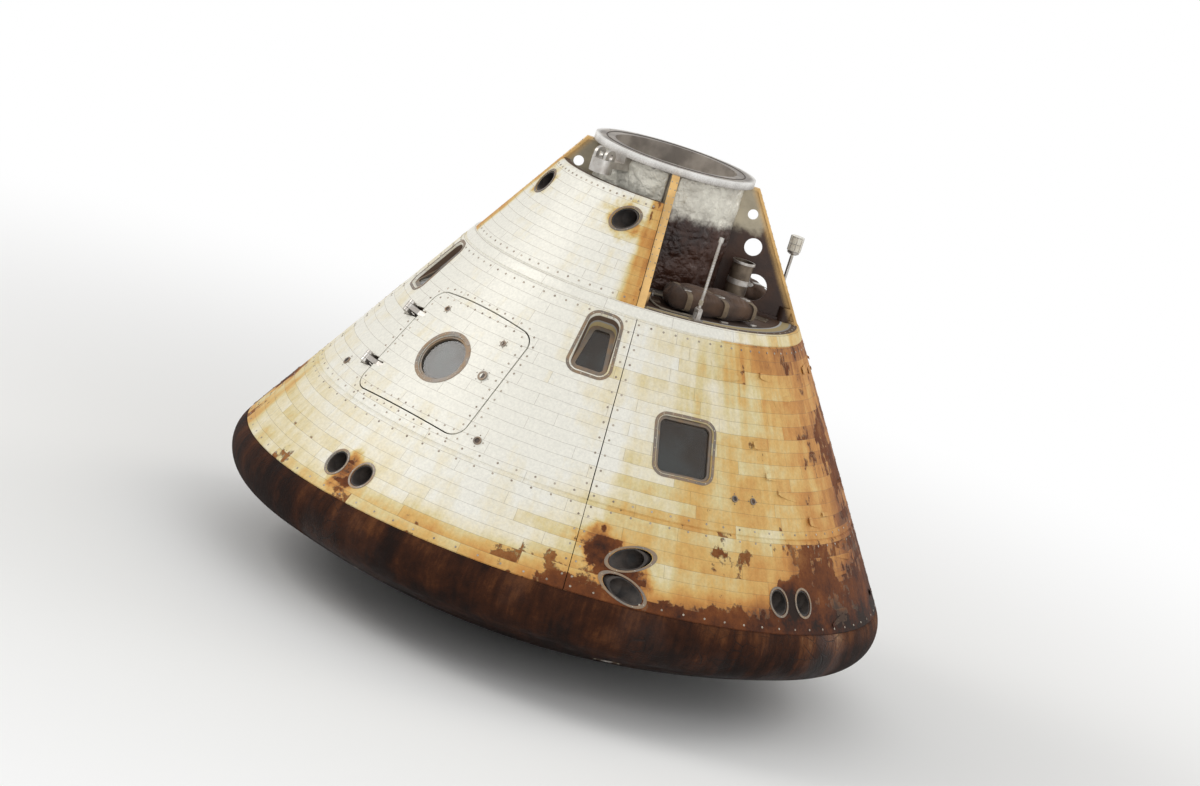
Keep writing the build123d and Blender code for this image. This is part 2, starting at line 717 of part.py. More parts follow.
# Pitch engine panel: the piece of cone that stays on above the hatch, with two ports
PANEL_TOP_Z = DECK_Z + ENGINE_PANEL_RISE
with BuildPart() as engine_panel:
    with BuildSketch(upright_plane(-45)):
        with BuildLine():
            Polyline(*band_points(DECK_Z, PANEL_TOP_Z, ENGINE_PANEL_WALL), close=True)
        make_face()
    revolve(axis=Axis.Z, revolution_arc=90)
    for azimuth in (-45, 45):
        with BuildSketch(upright_plane(azimuth)):
            with Locations((TOWER_R, DECK_Z)):
                Rectangle(TOWER_R, MAX_DIAMETER)
        extrude(amount=GUSSET_WIDTH / 2 + SEAM, both=True, mode=Mode.SUBTRACT)
        with BuildSketch(Plane.XY.offset(DECK_Z)):
            with Locations(outward(azimuth) * TOWER_R):
                Circle(TOWER_FOOT_RADIUS + SEAM)
        extrude(amount=TOWER_FOOT_RISE + SEAM, mode=Mode.SUBTRACT)
    for place in UPPER_ENGINES:
        with BuildSketch(Plane(origin=place.origin, z_dir=place.y_dir).offset(REACH / 2)):
            Circle(NOZZLE_RADIUS + NOZZLE_CLEARANCE)
        extrude(amount=-REACH, mode=Mode.SUBTRACT)
keep(engine_panel, "engine_panel")

# Engine bells: each is turned about its exhaust and cut flush with the cone
ENGINE_GROUPS = {name: [plane for _, plane in group] for name, group in LOWER_ENGINES.items()}
ENGINE_GROUPS["pitch_engines_upper"] = UPPER_ENGINES
for name, places in ENGINE_GROUPS.items():
    with BuildPart() as bells:
        for place in places:
            with BuildSketch(place):
                with BuildLine():
                    Polyline(*BELL_POINTS, close=True)
                make_face()
            revolve(axis=Axis(place.origin, place.y_dir))
        with BuildSketch(Plane.XZ):
            with BuildLine():
                Polyline(
                    (0, 0),
                    (mould_radius(0, NOZZLE_SINK), 0),
                    (mould_radius(TUNNEL_TOP_Z, NOZZLE_SINK), TUNNEL_TOP_Z),
                    (0, TUNNEL_TOP_Z),
                    close=True,
                )
            make_face()
        revolve(axis=Axis.Z, mode=Mode.INTERSECT)
    keep(bells, name)

# Optics port: a dark plate at the bottom of its recess, with a telescope and a sextant eye
with BuildPart() as optics_port:
    plate = skin_plane(180, GIRTH_Z + OPTICS_RISE, OPTICS_SINK)
    edge = 2 * SEAM
    with BuildSketch(plate):
        RectangleRounded(OPTICS_WIDTH - edge, OPTICS_HEIGHT - edge, OPTICS_HEIGHT / 4 - SEAM)
    extrude(amount=PLATE_WALL)
    for side, radius in ((-1, TELESCOPE_RADIUS), (1, SEXTANT_RADIUS)):
        with BuildSketch(plate.offset(PLATE_WALL)):
            with Locations((side * OPTICS_WIDTH / 4, 0)):
                Circle(radius + MORTAR_WALL)
        extrude(amount=PLATE_WALL)
        with BuildSketch(plate.offset(2 * PLATE_WALL)):
            with Locations((side * OPTICS_WIDTH / 4, 0)):
                Circle(radius)
        extrude(amount=-1.5 * PLATE_WALL, mode=Mode.SUBTRACT)
keep(optics_port, "optics_port")

# Umbilical plate: the cut end of the service umbilical, two rows of connectors
with BuildPart() as umbilical_plate:
    plate = skin_plane(180, PARTING_Z + UMBILICAL_RISE, UMBILICAL_SINK)
    edge = 2 * SEAM
    with BuildSketch(plate):
        RectangleRounded(
            UMBILICAL_WIDTH - edge, UMBILICAL_HEIGHT - edge, UMBILICAL_HEIGHT / 8 - SEAM
        )
    extrude(amount=PLATE_WALL)
    with BuildSketch(plate.offset(PLATE_WALL)):
        with GridLocations(CONNECTOR_RADIUS * 3, CONNECTOR_RADIUS * 4, 5, 2):
            Circle(CONNECTOR_RADIUS)
    extrude(amount=CONNECTOR_RISE)
keep(umbilical_plate, "umbilical_plate")

# Side windows: a flat frame in each opening, and a pane seated in its rebate
with BuildPart() as side_window_frames:
    for glass in SIDE_WINDOW_PLANES:
        extrude(side_window_outline(glass, -FIT), amount=-SIDE_FRAME_WALL)
        extrude(
            side_window_outline(glass, WINDOW_REBATE - WINDOW_BORDER),
            amount=-WINDOW_REBATE - PANE_WALL,
            mode=Mode.SUBTRACT,
        )
        extrude(
            side_window_outline(glass, -WINDOW_BORDER), amount=-REACH / 2, mode=Mode.SUBTRACT
        )
keep(side_window_frames, "side_window_frames")
with BuildPart() as side_window_panes:
    for glass in SIDE_WINDOW_PLANES:
        seat = glass.offset(-WINDOW_REBATE - PANE_WALL)
        extrude(side_window_outline(seat, WINDOW_REBATE - WINDOW_BORDER - FIT), amount=PANE_WALL)
keep(side_window_panes, "side_window_panes")

# Forward windows: panes set back in splayed recesses, looking up past the nose
FORWARD_SEAT = FORWARD_FRAME_WALL / 3
with BuildPart() as forward_window_frames:
    for glass in FORWARD_WINDOW_PLANES:
        extrude(forward_window_outline(glass, -FIT), amount=-FORWARD_FRAME_WALL)
        extrude(
            forward_window_outline(glass, WINDOW_REBATE / 2 - WINDOW_BORDER),
            amount=FORWARD_SEAT - FORWARD_FRAME_WALL,
            mode=Mode.SUBTRACT,
        )
        extrude(
            forward_window_outline(glass, -WINDOW_BORDER), amount=-REACH / 2, mode=Mode.SUBTRACT
        )
keep(forward_window_frames, "forward_window_frames")
with BuildPart() as forward_window_panes:
    for glass in FORWARD_WINDOW_PLANES:
        seat = glass.offset(FORWARD_SEAT - FORWARD_FRAME_WALL)
        extrude(
            forward_window_outline(seat, WINDOW_REBATE / 2 - WINDOW_BORDER - FIT),
            amount=PANE_WALL * 0.8,
        )
keep(forward_window_panes, "forward_window_panes")

# Hatch frame: the sealing lip inside the doorway
with BuildPart() as hatch_frame:
    low, high = GIRTH_Z + GROOVE, WALL_TOP_Z - GROOVE
    lip = CABIN_WALL + FIT
    with BuildSketch(upright_plane(-45 + SEAM)):
        with BuildLine():
            Polyline(
                (mould_radius(low, lip), low),
                (mould_radius(high, lip), high),
                (mould_radius(high, lip + FRAME_WALL), high),
                (mould_radius(low, lip + FRAME_WALL), low),
                close=True,
            )
        make_face()
    revolve(axis=Axis.Z, revolution_arc=90 - 2 * SEAM)
    add(lip_outside, mode=Mode.INTERSECT)
    add(lip_inside, mode=Mode.SUBTRACT)
keep(hatch_frame, "hatch_frame")

# Hatch shell: the side hatch, a thick piece of cone hollowed to a pan inside
HATCH_BAND = HATCH_HEIGHT / 2 * SLOPE_COS + REACH / 4
with BuildPart() as hatch_shell:
    low, high = max(HATCH_Z - HATCH_BAND, GIRTH_Z), min(HATCH_Z + HATCH_BAND, WALL_TOP_Z)
    with BuildSketch(upright_plane(-45)):
        with BuildLine():
            Polyline(
                (mould_radius(low), low),
                (mould_radius(high), high),
                (mould_radius(high, HATCH_WALL), high),
                (mould_radius(low, HATCH_WALL), low),
                close=True,
            )
        make_face()
    revolve(axis=Axis.Z, revolution_arc=90)
    add(hatch_blank, mode=Mode.INTERSECT)
    extrude(
        hatch_outline(HATCH_PLANE.offset(-HATCH_PAN), -HATCH_RIM), amount=-REACH, mode=Mode.SUBTRACT
    )
    with BuildSketch(HATCH_PLANE.offset(REACH / 2)):
        Circle(HATCH_WINDOW)
    extrude(amount=-REACH, mode=Mode.SUBTRACT)
    for place in HINGE_PLANES:
        with BuildSketch(place):
            with Locations((-HATCH_FOOT / 2 - HATCH_GAP, -STRAP_SINK)):
                Rectangle(
                    STRAP_REACH + HATCH_GAP + SEAM, REACH, align=(Align.MIN, Align.MIN)
                )
        extrude(amount=STRAP_WIDTH / 2 + LUG_GAP, both=True, mode=Mode.SUBTRACT)
keep(hatch_shell, "hatch_shell")

# Hatch window: a round frame in the shell and its pane
HATCH_GLASS = HATCH_PLANE.offset(-PANE_WALL)
with BuildPart() as hatch_window_frame:
    with BuildSketch(HATCH_GLASS):
        Circle(HATCH_WINDOW - FIT)
        Circle(HATCH_WINDOW - WINDOW_BORDER, mode=Mode.SUBTRACT)
    extrude(amount=PANE_WALL - HATCH_PAN)
    with BuildSketch(HATCH_GLASS):
        Circle(HATCH_WINDOW - WINDOW_REBATE)
    extrude(amount=-WINDOW_REBATE - PANE_WALL, mode=Mode.SUBTRACT)
keep(hatch_window_frame, "hatch_window_frame")
with BuildPart() as hatch_window_pane:
    with BuildSketch(HATCH_GLASS.offset(-WINDOW_REBATE - PANE_WALL)):
        Circle(HATCH_WINDOW - WINDOW_REBATE - FIT)
    extrude(amount=PANE_WALL)
keep(hatch_window_pane, "hatch_window_pane")

# Hatch latches: a driven rod around the pan, latch blocks, the gearbox and its handle
LATCH_ROD = 14.0
LATCH_BLOCK = 46.0
GEARBOX_SIZE = (150.0, 110.0, 42.0)
HANDLE_SIZE = (26.0, 250.0, 20.0)
with BuildPart() as hatch_latches:
    inside = HATCH_PLANE.offset(-HATCH_PAN)
    rod_margin = -HATCH_RIM - LATCH_BLOCK / 2
    extrude(hatch_outline(inside, rod_margin), amount=-LATCH_ROD)
    extrude(hatch_outline(inside, rod_margin - LATCH_ROD), amount=-REACH, mode=Mode.SUBTRACT)
    across, along = HATCH_HEAD / 2 + rod_margin, HATCH_HEIGHT / 2 + rod_margin
    with BuildSketch(inside):
        with GridLocations(across / 1.6, 2 * along - LATCH_ROD, 4, 2):
            Rectangle(LATCH_BLOCK, LATCH_BLOCK * 0.7)
        with Locations(*[(s * across, v * along / 2.6) for s in (-1, 1) for v in (-1, 1)]):
            Rectangle(LATCH_BLOCK * 0.9, LATCH_BLOCK)
    extrude(amount=-LATCH_BLOCK * 0.8)
    gear_x = HATCH_WINDOW + (across - HATCH_WINDOW) / 2
    with BuildSketch(inside):
        with Locations((gear_x, 0)):
            Rectangle(2 * (across - gear_x), GEARBOX_SIZE[1])
    extrude(amount=-GEARBOX_SIZE[2])
    with BuildSketch(inside.offset(-GEARBOX_SIZE[2])):
        with Locations((gear_x, 0)):
            Rectangle(HANDLE_SIZE[0], HANDLE_SIZE[1])
    extrude(amount=-HANDLE_SIZE[2])
keep(hatch_latches, "hatch_latches")

# Hatch hinge: two straps let into the hatch, turning on pins between lugs on the wall
with BuildPart() as hatch_straps:
    for place in HINGE_PLANES:
        edge = -HATCH_FOOT / 2
        with BuildSketch(place):
            with Locations((HINGE_X, -HINGE_SINK)):
                Circle(HINGE_KNUCKLE)
            with BuildLine():
                Polyline(
                    (HINGE_X, HINGE_KNUCKLE - HINGE_SINK),
                    (edge + STRAP_WALL / 2, STRAP_WALL - STRAP_SINK),
                    (edge + STRAP_REACH, STRAP_WALL - STRAP_SINK),
                    (edge + STRAP_REACH, -STRAP_SINK),
                    (edge, -STRAP_SINK),
                    (HINGE_X, -HINGE_SINK - HINGE_KNUCKLE),
                    close=True,
                )
            make_face()
            with Locations((HINGE_X, -HINGE_SINK)):
                Circle(HINGE_PIN + HINGE_PIN_GAP, mode=Mode.SUBTRACT)
        extrude(amount=STRAP_WIDTH / 2, both=True)
keep(hatch_straps, "hatch_straps")
with BuildPart() as hinge_lugs:
    for place in HINGE_PLANES:
        slot = STRAP_WIDTH / 2 + LUG_GAP
        with BuildSketch(place):
            with Locations((HINGE_X, -HINGE_SINK)):
                Circle(HINGE_KNUCKLE)
            with Locations((HINGE_X, -LUG_SINK)):
                Rectangle(
                    2 * HINGE_KNUCKLE, LUG_SINK - HINGE_SINK, align=(Align.CENTER, Align.MIN)
                )
        extrude(amount=slot + LUG_EAR, both=True)
        with BuildSketch(place):
            with Locations((HINGE_X, FOOT_WALL / 2 - LUG_SINK)):
                Rectangle(REACH, REACH, align=(Align.CENTER, Align.MIN))
        extrude(amount=slot, both=True, mode=Mode.SUBTRACT)
        with BuildSketch(place):
            with Locations((HINGE_X, -HINGE_SINK)):
                Circle(HINGE_PIN)
        extrude(amount=slot + LUG_EAR, both=True)
keep(hinge_lugs, "hinge_lugs")

# Drogue mortars: two open tubes behind the pitch engine panel
with BuildPart() as drogue_mortars:
    with BuildSketch(Plane.XY.offset(DECK_Z)):
        with Locations(*[(s * DROGUE_SPREAD / 2, -DROGUE_DISTANCE) for s in (-1, 1)]):
            Circle(DROGUE_RADIUS)
    extrude(amount=DROGUE_HEIGHT)
    with BuildSketch(Plane.XY.offset(DECK_Z + MORTAR_WALL)):
        with Locations(*[(s * DROGUE_SPREAD / 2, -DROGUE_DISTANCE) for s in (-1, 1)]):
            Circle(DROGUE_RADIUS - MORTAR_WALL)
    extrude(amount=DROGUE_HEIGHT, mode=Mode.SUBTRACT)
keep(drogue_mortars, "drogue_mortars")

# Pilot mortars: one smaller open tube in each main parachute bay
with BuildPart() as pilot_mortars:
    spots = [outward(bay + PILOT_ANGLE) * PILOT_DISTANCE for bay in BAYS]
    with BuildSketch(Plane.XY.offset(DECK_Z)):
        with Locations(*spots):
            Circle(PILOT_RADIUS)
    extrude(amount=PILOT_HEIGHT)
    with BuildSketch(Plane.XY.offset(DECK_Z + MORTAR_WALL)):
        with Locations(*spots):
            Circle(PILOT_RADIUS - MORTAR_WALL)
    extrude(amount=PILOT_HEIGHT, mode=Mode.SUBTRACT)
keep(pilot_mortars, "pilot_mortars")

# Riser anchor: the pot and clevis under the flange that carried the main parachutes
ANCHOR_TOP_Z = TUNNEL_TOP_Z - FLANGE_WALL
ANCHOR_BORE_Z = ANCHOR_TOP_Z - ANCHOR_EAR_WIDTH / 4
with BuildPart() as riser_anchor:
    with BuildSketch(Plane.XY.offset(ANCHOR_TOP_Z)):
        with Locations((0, -TUNNEL_OUTER - FIT)):
            Rectangle(
                ANCHOR_ARM_WIDTH,
                FLANGE_RADIUS - TUNNEL_OUTER,
                align=(Align.CENTER, Align.MAX),
            )
    extrude(amount=-ANCHOR_ARM_HEIGHT)
    with BuildSketch(Plane.XY.offset(ANCHOR_TOP_Z)):
        Circle(TUNNEL_OUTER + FIT)
    extrude(amount=-ANCHOR_ARM_HEIGHT, mode=Mode.SUBTRACT)
    with BuildSketch(Plane.XY.offset(ANCHOR_TOP_Z - ANCHOR_ARM_HEIGHT)):
        with Locations((0, -FLANGE_RADIUS + LUG_GAP)):
            Rectangle(
                ANCHOR_ARM_WIDTH,
                ANCHOR_DISTANCE - FLANGE_RADIUS,
                align=(Align.CENTER, Align.MAX),
            )
        with Locations((0, -ANCHOR_DISTANCE)):
            Circle(ANCHOR_POT_RADIUS)
    extrude(amount=ANCHOR_ARM_HEIGHT / 2)
    with BuildSketch(Plane.XY.offset(ANCHOR_TOP_Z - ANCHOR_ARM_HEIGHT)):
        with Locations((0, -ANCHOR_DISTANCE)):
            Circle(ANCHOR_POT_RADIUS)
    extrude(amount=ANCHOR_ARM_HEIGHT - ANCHOR_POT_HEIGHT)
    for side in (-1, 1):
        ear = Plane.YZ.offset(side * (ANCHOR_GAP / 2 + ANCHOR_EAR / 2))
        low_z = ANCHOR_TOP_Z - ANCHOR_ARM_HEIGHT / 2
        with BuildSketch(ear):
            with Locations((-ANCHOR_DISTANCE, ANCHOR_BORE_Z)):
                Circle(ANCHOR_EAR_WIDTH / 2)
            with Locations((-ANCHOR_DISTANCE, low_z)):
                Rectangle(
                    ANCHOR_EAR_WIDTH, ANCHOR_BORE_Z - low_z, align=(Align.CENTER, Align.MIN)
                )
        extrude(amount=ANCHOR_EAR / 2, both=True)
    with BuildSketch(Plane.YZ):
        with Locations((-ANCHOR_DISTANCE, ANCHOR_BORE_Z)):
            Circle(ANCHOR_BORE_RADIUS)
    extrude(amount=ANCHOR_GAP, both=True, mode=Mode.SUBTRACT)
keep(riser_anchor, "riser_anchor")

# Righting bags: soft packs strapped to the deck, one in each main bay
BAG_INNER = TUNNEL_OUTER + BAG_STANDOFF
BAG_WIDTH = RING_INNER - BAG_MARGIN - BAG_INNER
with BuildPart() as righting_bags:
    for bay in BAYS:
        with BuildSketch(upright_plane(bay + BAG_START_ANGLE)):
            with Locations((BAG_INNER, DECK_Z)):
                Rectangle(BAG_WIDTH, BAG_HEIGHT, align=(Align.MIN, Align.MIN))
        revolve(axis=Axis.Z, revolution_arc=BAG_SWEEP_ANGLE)
keep(righting_bags, "righting_bags")


def mast_plane(bay):
    """Plane across a mast's hinge: y is up, x points the way the mast folds down."""
    foot = outward(bay - MAST_ANGLE) * MAST_R
    fold = (outward(bay) * MAST_R - foot).normalized()
    return Plane(origin=foot + UP * DECK_Z, x_dir=fold, z_dir=fold.cross(UP))


# Mast brackets: a foot plate, two ears and a pin for each mast
MAST_PLANES = {"antenna_right": 90.0, "beacon_mast": 180.0, "antenna_left": 270.0}
EAR_INNER = MAST_KNUCKLE_WIDTH / 2 + MAST_GAP
with BuildPart() as mast_brackets:
    for bay in MAST_PLANES.values():
        place = mast_plane(bay)
        with BuildSketch(place):
            Rectangle(BRACKET_WIDTH, BRACKET_FOOT, align=(Align.CENTER, Align.MIN))
        extrude(amount=EAR_INNER + 2 * BRACKET_EAR, both=True)
        with BuildSketch(place):
            Rectangle(2 * MAST_KNUCKLE, MAST_PIVOT, align=(Align.CENTER, Align.MIN))
            with Locations((0, MAST_PIVOT)):
                Circle(MAST_KNUCKLE)
        extrude(amount=EAR_INNER + BRACKET_EAR, both=True)
        with BuildSketch(place):
            with Locations((0, BRACKET_FOOT)):
                Rectangle(REACH / 2, REACH / 2, align=(Align.CENTER, Align.MIN))
        extrude(amount=EAR_INNER, both=True, mode=Mode.SUBTRACT)
        with BuildSketch(place):
            with Locations((0, MAST_PIVOT)):
                Circle(MAST_PIN)
        extrude(amount=EAR_INNER + BRACKET_EAR, both=True)
keep(mast_brackets, "mast_brackets")

# Recovery antennas and the beacon: a knuckle on the pin, a mast, and a tip or a lamp
for name, bay in MAST_PLANES.items():
    with BuildPart() as mast:
        place = mast_plane(bay)
        with BuildSketch(place):
            with Locations((0, MAST_PIVOT)):
                Circle(MAST_KNUCKLE)
        extrude(amount=MAST_KNUCKLE_WIDTH / 2, both=True)
        pivot = Plane(origin=place.origin + UP * MAST_PIVOT)
        length = BEACON_LENGTH if name == "beacon_mast" else ANTENNA_LENGTH
        with BuildSketch(pivot):
            Circle(ANTENNA_RADIUS)
        extrude(amount=length)
        with BuildSketch(pivot.offset(length)):
            Circle(LAMP_RADIUS if name == "beacon_mast" else ANTENNA_TIP)
        extrude(amount=LAMP_HEIGHT if name == "beacon_mast" else 2 * ANTENNA_TIP)
        with BuildSketch(place):
            with Locations((0, MAST_PIVOT)):
                Circle(MAST_PIN + HINGE_PIN_GAP)
        extrude(amount=MAST_KNUCKLE_WIDTH, both=True, mode=Mode.SUBTRACT)
    keep(mast, name)

# Tunnel hatch: a ribbed disc under the flange's lip, with a gearbox and a handle
TUNNEL_HATCH_TOP_Z = TUNNEL_TOP_Z - LIP_HEIGHT - TUNNEL_HATCH_SEAT
with BuildPart() as tunnel_hatch:
    with BuildSketch(Plane.XY.offset(TUNNEL_HATCH_TOP_Z)):
        Circle(TUNNEL_HATCH_RADIUS)
    extrude(amount=-TUNNEL_HATCH_RIM)
    with BuildSketch(Plane.XY.offset(TUNNEL_HATCH_TOP_Z)):
        Circle(TUNNEL_HATCH_RADIUS - TUNNEL_HATCH_WALL)
    extrude(amount=TUNNEL_HATCH_WALL - TUNNEL_HATCH_RIM, mode=Mode.SUBTRACT)
    rib = TUNNEL_HATCH_RIM - TUNNEL_HATCH_WALL
    with BuildSketch(Plane.XY.offset(TUNNEL_HATCH_TOP_Z - rib)):
        with PolarLocations(TUNNEL_HATCH_RADIUS / 2, 8):
            Rectangle(TUNNEL_HATCH_RADIUS - TUNNEL_HATCH_WALL, MORTAR_WALL * 2)
        Circle(TUNNEL_GEARBOX)
    extrude(amount=rib - SEAM)
    with BuildSketch(Plane.XY.offset(TUNNEL_HATCH_TOP_Z - SEAM)):
        Circle(TUNNEL_GEARBOX / 2)
        Rectangle(TUNNEL_GEARBOX * 2.4, MORTAR_WALL * 4)
    extrude(amount=TUNNEL_HATCH_WALL)
keep(tunnel_hatch, "tunnel_hatch")

# Couches: three pads side by side, bent for legs raised, on a frame of beams and posts
COUCH_LEVEL = FLOOR_TOP_Z + COUCH_RISE
COUCH_HALF_SPAN = COUCH_PITCH + COUCH_WIDTH / 2
HIP_Y = COUCH_HEAD - sqrt((TUB_INNER - COUCH_MARGIN) ** 2 - COUCH_HALF_SPAN**2)
HEAD_BEAM = HIP_Y - HEAD_BEAM_BACK
HIP_BEAM = HIP_Y - HIP_BEAM_BACK
with BuildPart() as couch_pads:
    for place in (-1, 0, 1):
        with BuildSketch(Plane.YZ.offset(place * COUCH_PITCH)):
            level = COUCH_LEVEL + COUCH_PAD / 2
            with BuildLine() as couch_line:
                Polyline(
                    (HIP_Y - COUCH_HEAD, level),
                    (HIP_Y, level),
                    (HIP_Y + COUCH_THIGH * 0.3, level + COUCH_THIGH),
                    (HIP_Y + COUCH_THIGH * 0.3 + COUCH_SHIN, level + COUCH_THIGH * 0.9),
                )
            trace(line_width=COUCH_PAD)
        extrude(amount=COUCH_WIDTH / 2, both=True)
keep(couch_pads, "couch_pads")
with BuildPart() as couch_frame:
    beam_z = COUCH_LEVEL - BEAM_SIDE
    for beam_y in (HEAD_BEAM, HIP_BEAM):
        with BuildSketch(Plane.XY.offset(beam_z)):
            with Locations((0, beam_y)):
                Rectangle(BEAM_SPAN, BEAM_SIDE)
        extrude(amount=BEAM_SIDE)
    with BuildSketch(Plane.XY.offset(beam_z)):
        with Locations(*[(s * POST_SPREAD / 2, 0) for s in (-1, 1)]):
            with Locations((0, (HEAD_BEAM + HIP_BEAM) / 2)):
                Rectangle(BEAM_SIDE, HIP_BEAM - HEAD_BEAM)
    extrude(amount=BEAM_SIDE)
    with BuildSketch(Plane.XY.offset(FLOOR_TOP_Z)):
        with Locations(
            *[(s * POST_SPREAD / 2, y) for s in (-1, 1) for y in (HEAD_BEAM, HIP_BEAM)]
        ):
            Circle(POST_RADIUS)
    extrude(amount=beam_z - FLOOR_TOP_Z)
keep(couch_frame, "couch_frame")

# Main console: the instrument panel that hangs from the deck over the couches
CONSOLE_NEAR = TUNNEL_OUTER + CONSOLE_STANDOFF
CONSOLE_FAR = CONSOLE_NEAR + CONSOLE_DEPTH
CONSOLE_HALF = sqrt((RING_INNER - LEDGE - CONSOLE_MARGIN) ** 2 - CONSOLE_FAR**2)
with BuildPart() as main_console:
    roof_z = DECK_Z - DECK_WALL
    with BuildSketch(Plane.YZ):
        with BuildLine():
            Polyline(
                (CONSOLE_NEAR, roof_z),
                (CONSOLE_FAR, roof_z),
                (CONSOLE_FAR, roof_z - CONSOLE_DROP * 0.7),
                (CONSOLE_FAR - BEAM_SIDE, roof_z - CONSOLE_DROP),
                (CONSOLE_NEAR - BEAM_SIDE, roof_z - CONSOLE_DROP),
                (CONSOLE_NEAR, roof_z - CONSOLE_DROP * 0.7),
                close=True,
            )
        make_face()
    extrude(amount=CONSOLE_HALF, both=True)
    with BuildSketch(Plane.YZ):
        with Locations((CONSOLE_FAR, roof_z - CABINET_WALL)):
            Rectangle(
                CONSOLE_DEPTH - CABINET_WALL,
                CONSOLE_DROP * 0.7 - CABINET_WALL,
                align=(Align.MAX, Align.MAX),
            )
    extrude(amount=CONSOLE_HALF - CABINET_WALL, both=True, mode=Mode.SUBTRACT)
keep(main_console, "main_console")

# Equipment racks: three cabinets on the floor at the crew's feet, open at the back
RACK_STEP = RACK_WIDTH + RACK_GAP
RACK_REACH = sqrt((TUB_INNER - RACK_MARGIN) ** 2 - (RACK_STEP + RACK_WIDTH / 2) ** 2)
with BuildPart() as equipment_racks:
    rack_places = [(i * RACK_STEP, RACK_REACH - RACK_DEPTH) for i in (-1, 0, 1)]
    with BuildSketch(Plane.XY.offset(FLOOR_TOP_Z)):
        with Locations(*rack_places):
            Rectangle(RACK_WIDTH, RACK_DEPTH, align=(Align.CENTER, Align.MIN))
    extrude(amount=RACK_HEIGHT)
    with BuildSketch(Plane.XY.offset(FLOOR_TOP_Z + CABINET_WALL)):
        with Locations(*[(x, y + CABINET_WALL) for x, y in rack_places]):
            Rectangle(
                RACK_WIDTH - 2 * CABINET_WALL, RACK_DEPTH, align=(Align.CENTER, Align.MIN)
            )
    extrude(amount=RACK_HEIGHT - 2 * CABINET_WALL, mode=Mode.SUBTRACT)
keep(equipment_racks, "equipment_racks")

os.makedirs("parts", exist_ok=True)
for piece in pieces:
    export_step(piece, f"parts/{piece.label}.step")
    print(piece.label, round(piece.volume / 1e6, 2), "dm3", len(piece.solids()), "solids")
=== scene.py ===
"""Looks of a conical three-crew space capsule after re-entry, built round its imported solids.

The capsule stands upright on its heat shield. Lengths are in metres. +Z runs up the capsule's
axis, the side hatch faces -Y and the crew's right is +X. An azimuth is an angle round the axis
in degrees: 0 on the hatch side, 90 at +X, 180 opposite the hatch.
"""

import logging
import random
from dataclasses import dataclass
from enum import Enum
from functools import cache
from math import asin, atan2, copysign, cos, degrees, dist, hypot, pi, radians, sin, sqrt, tan
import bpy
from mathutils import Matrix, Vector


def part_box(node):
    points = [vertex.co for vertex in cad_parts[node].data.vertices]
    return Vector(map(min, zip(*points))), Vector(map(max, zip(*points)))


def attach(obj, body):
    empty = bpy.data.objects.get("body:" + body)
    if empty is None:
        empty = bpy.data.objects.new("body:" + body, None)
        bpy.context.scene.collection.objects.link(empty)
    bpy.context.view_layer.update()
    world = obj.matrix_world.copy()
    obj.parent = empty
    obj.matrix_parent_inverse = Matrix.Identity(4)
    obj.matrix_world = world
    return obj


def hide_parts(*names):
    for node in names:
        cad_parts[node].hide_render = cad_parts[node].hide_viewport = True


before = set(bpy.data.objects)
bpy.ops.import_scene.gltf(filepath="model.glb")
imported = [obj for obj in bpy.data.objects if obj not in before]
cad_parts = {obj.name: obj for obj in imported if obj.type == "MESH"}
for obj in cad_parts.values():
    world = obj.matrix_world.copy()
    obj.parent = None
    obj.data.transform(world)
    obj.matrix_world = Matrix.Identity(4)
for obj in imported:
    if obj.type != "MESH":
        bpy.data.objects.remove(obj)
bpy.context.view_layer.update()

from types import SimpleNamespace
from typing import Callable, Iterable, Sequence

import bpy
from bpy.types import ID, Material, Mesh, Node, NodeSocket, NodeTree, Object, VertexGroup
from mathutils import Matrix, Vector

LOG = logging.getLogger("capsule")
Colour = tuple[float, float, float]
Size = tuple[float, float, float]
Pair = tuple[float, float]
Screw = Pair
Tones = tuple[tuple[float, Colour], ...]
Row = tuple[float, ...]
Rows = tuple[Row, ...]
Profile = Sequence[Pair]
Outline = list[Pair]
Path = Sequence[Vector]
UP = Vector((0.0, 0.0, 1.0))
RIGHT = Vector((1.0, 0.0, 0.0))
BAYS = (90.0, 180.0, 270.0)
CORNERS = (45.0, 135.0, 225.0, 315.0)


class Body(Enum):
    """Rigid bodies of the capsule."""

    HULL = "capsule"
    SIDE_HATCH = "side_hatch"
    TUNNEL_HATCH = "tunnel_hatch"
    ANTENNA_RIGHT = "antenna_right"
    ANTENNA_LEFT = "antenna_left"
    BEACON = "beacon_mast"


class Slot(Enum):
    """Material slots; each finish carries one."""

    CHAR = "char"
    PAD = "pad"
    FOIL = "foil"
    SCORCHED = "scorched_foil"
    METAL = "metal"
    DECK = "deck"
    BELL = "bell"
    PLATE = "plate"
    FRAME = "window_frame"
    GLASS = "glass"
    STEEL = "steel"
    BAG = "bag"
    COUCH = "couch"
    LAMP = "lamp"
    CABINET = "cabinet"


def outward(azimuth: float) -> Vector:
    """Level direction away from the axis."""
    turn = radians(azimuth)
    return Vector((sin(turn), -cos(turn), 0.0))


def around(azimuth: float) -> Vector:
    """Level direction round the axis, towards larger azimuths."""
    return UP.cross(outward(azimuth))


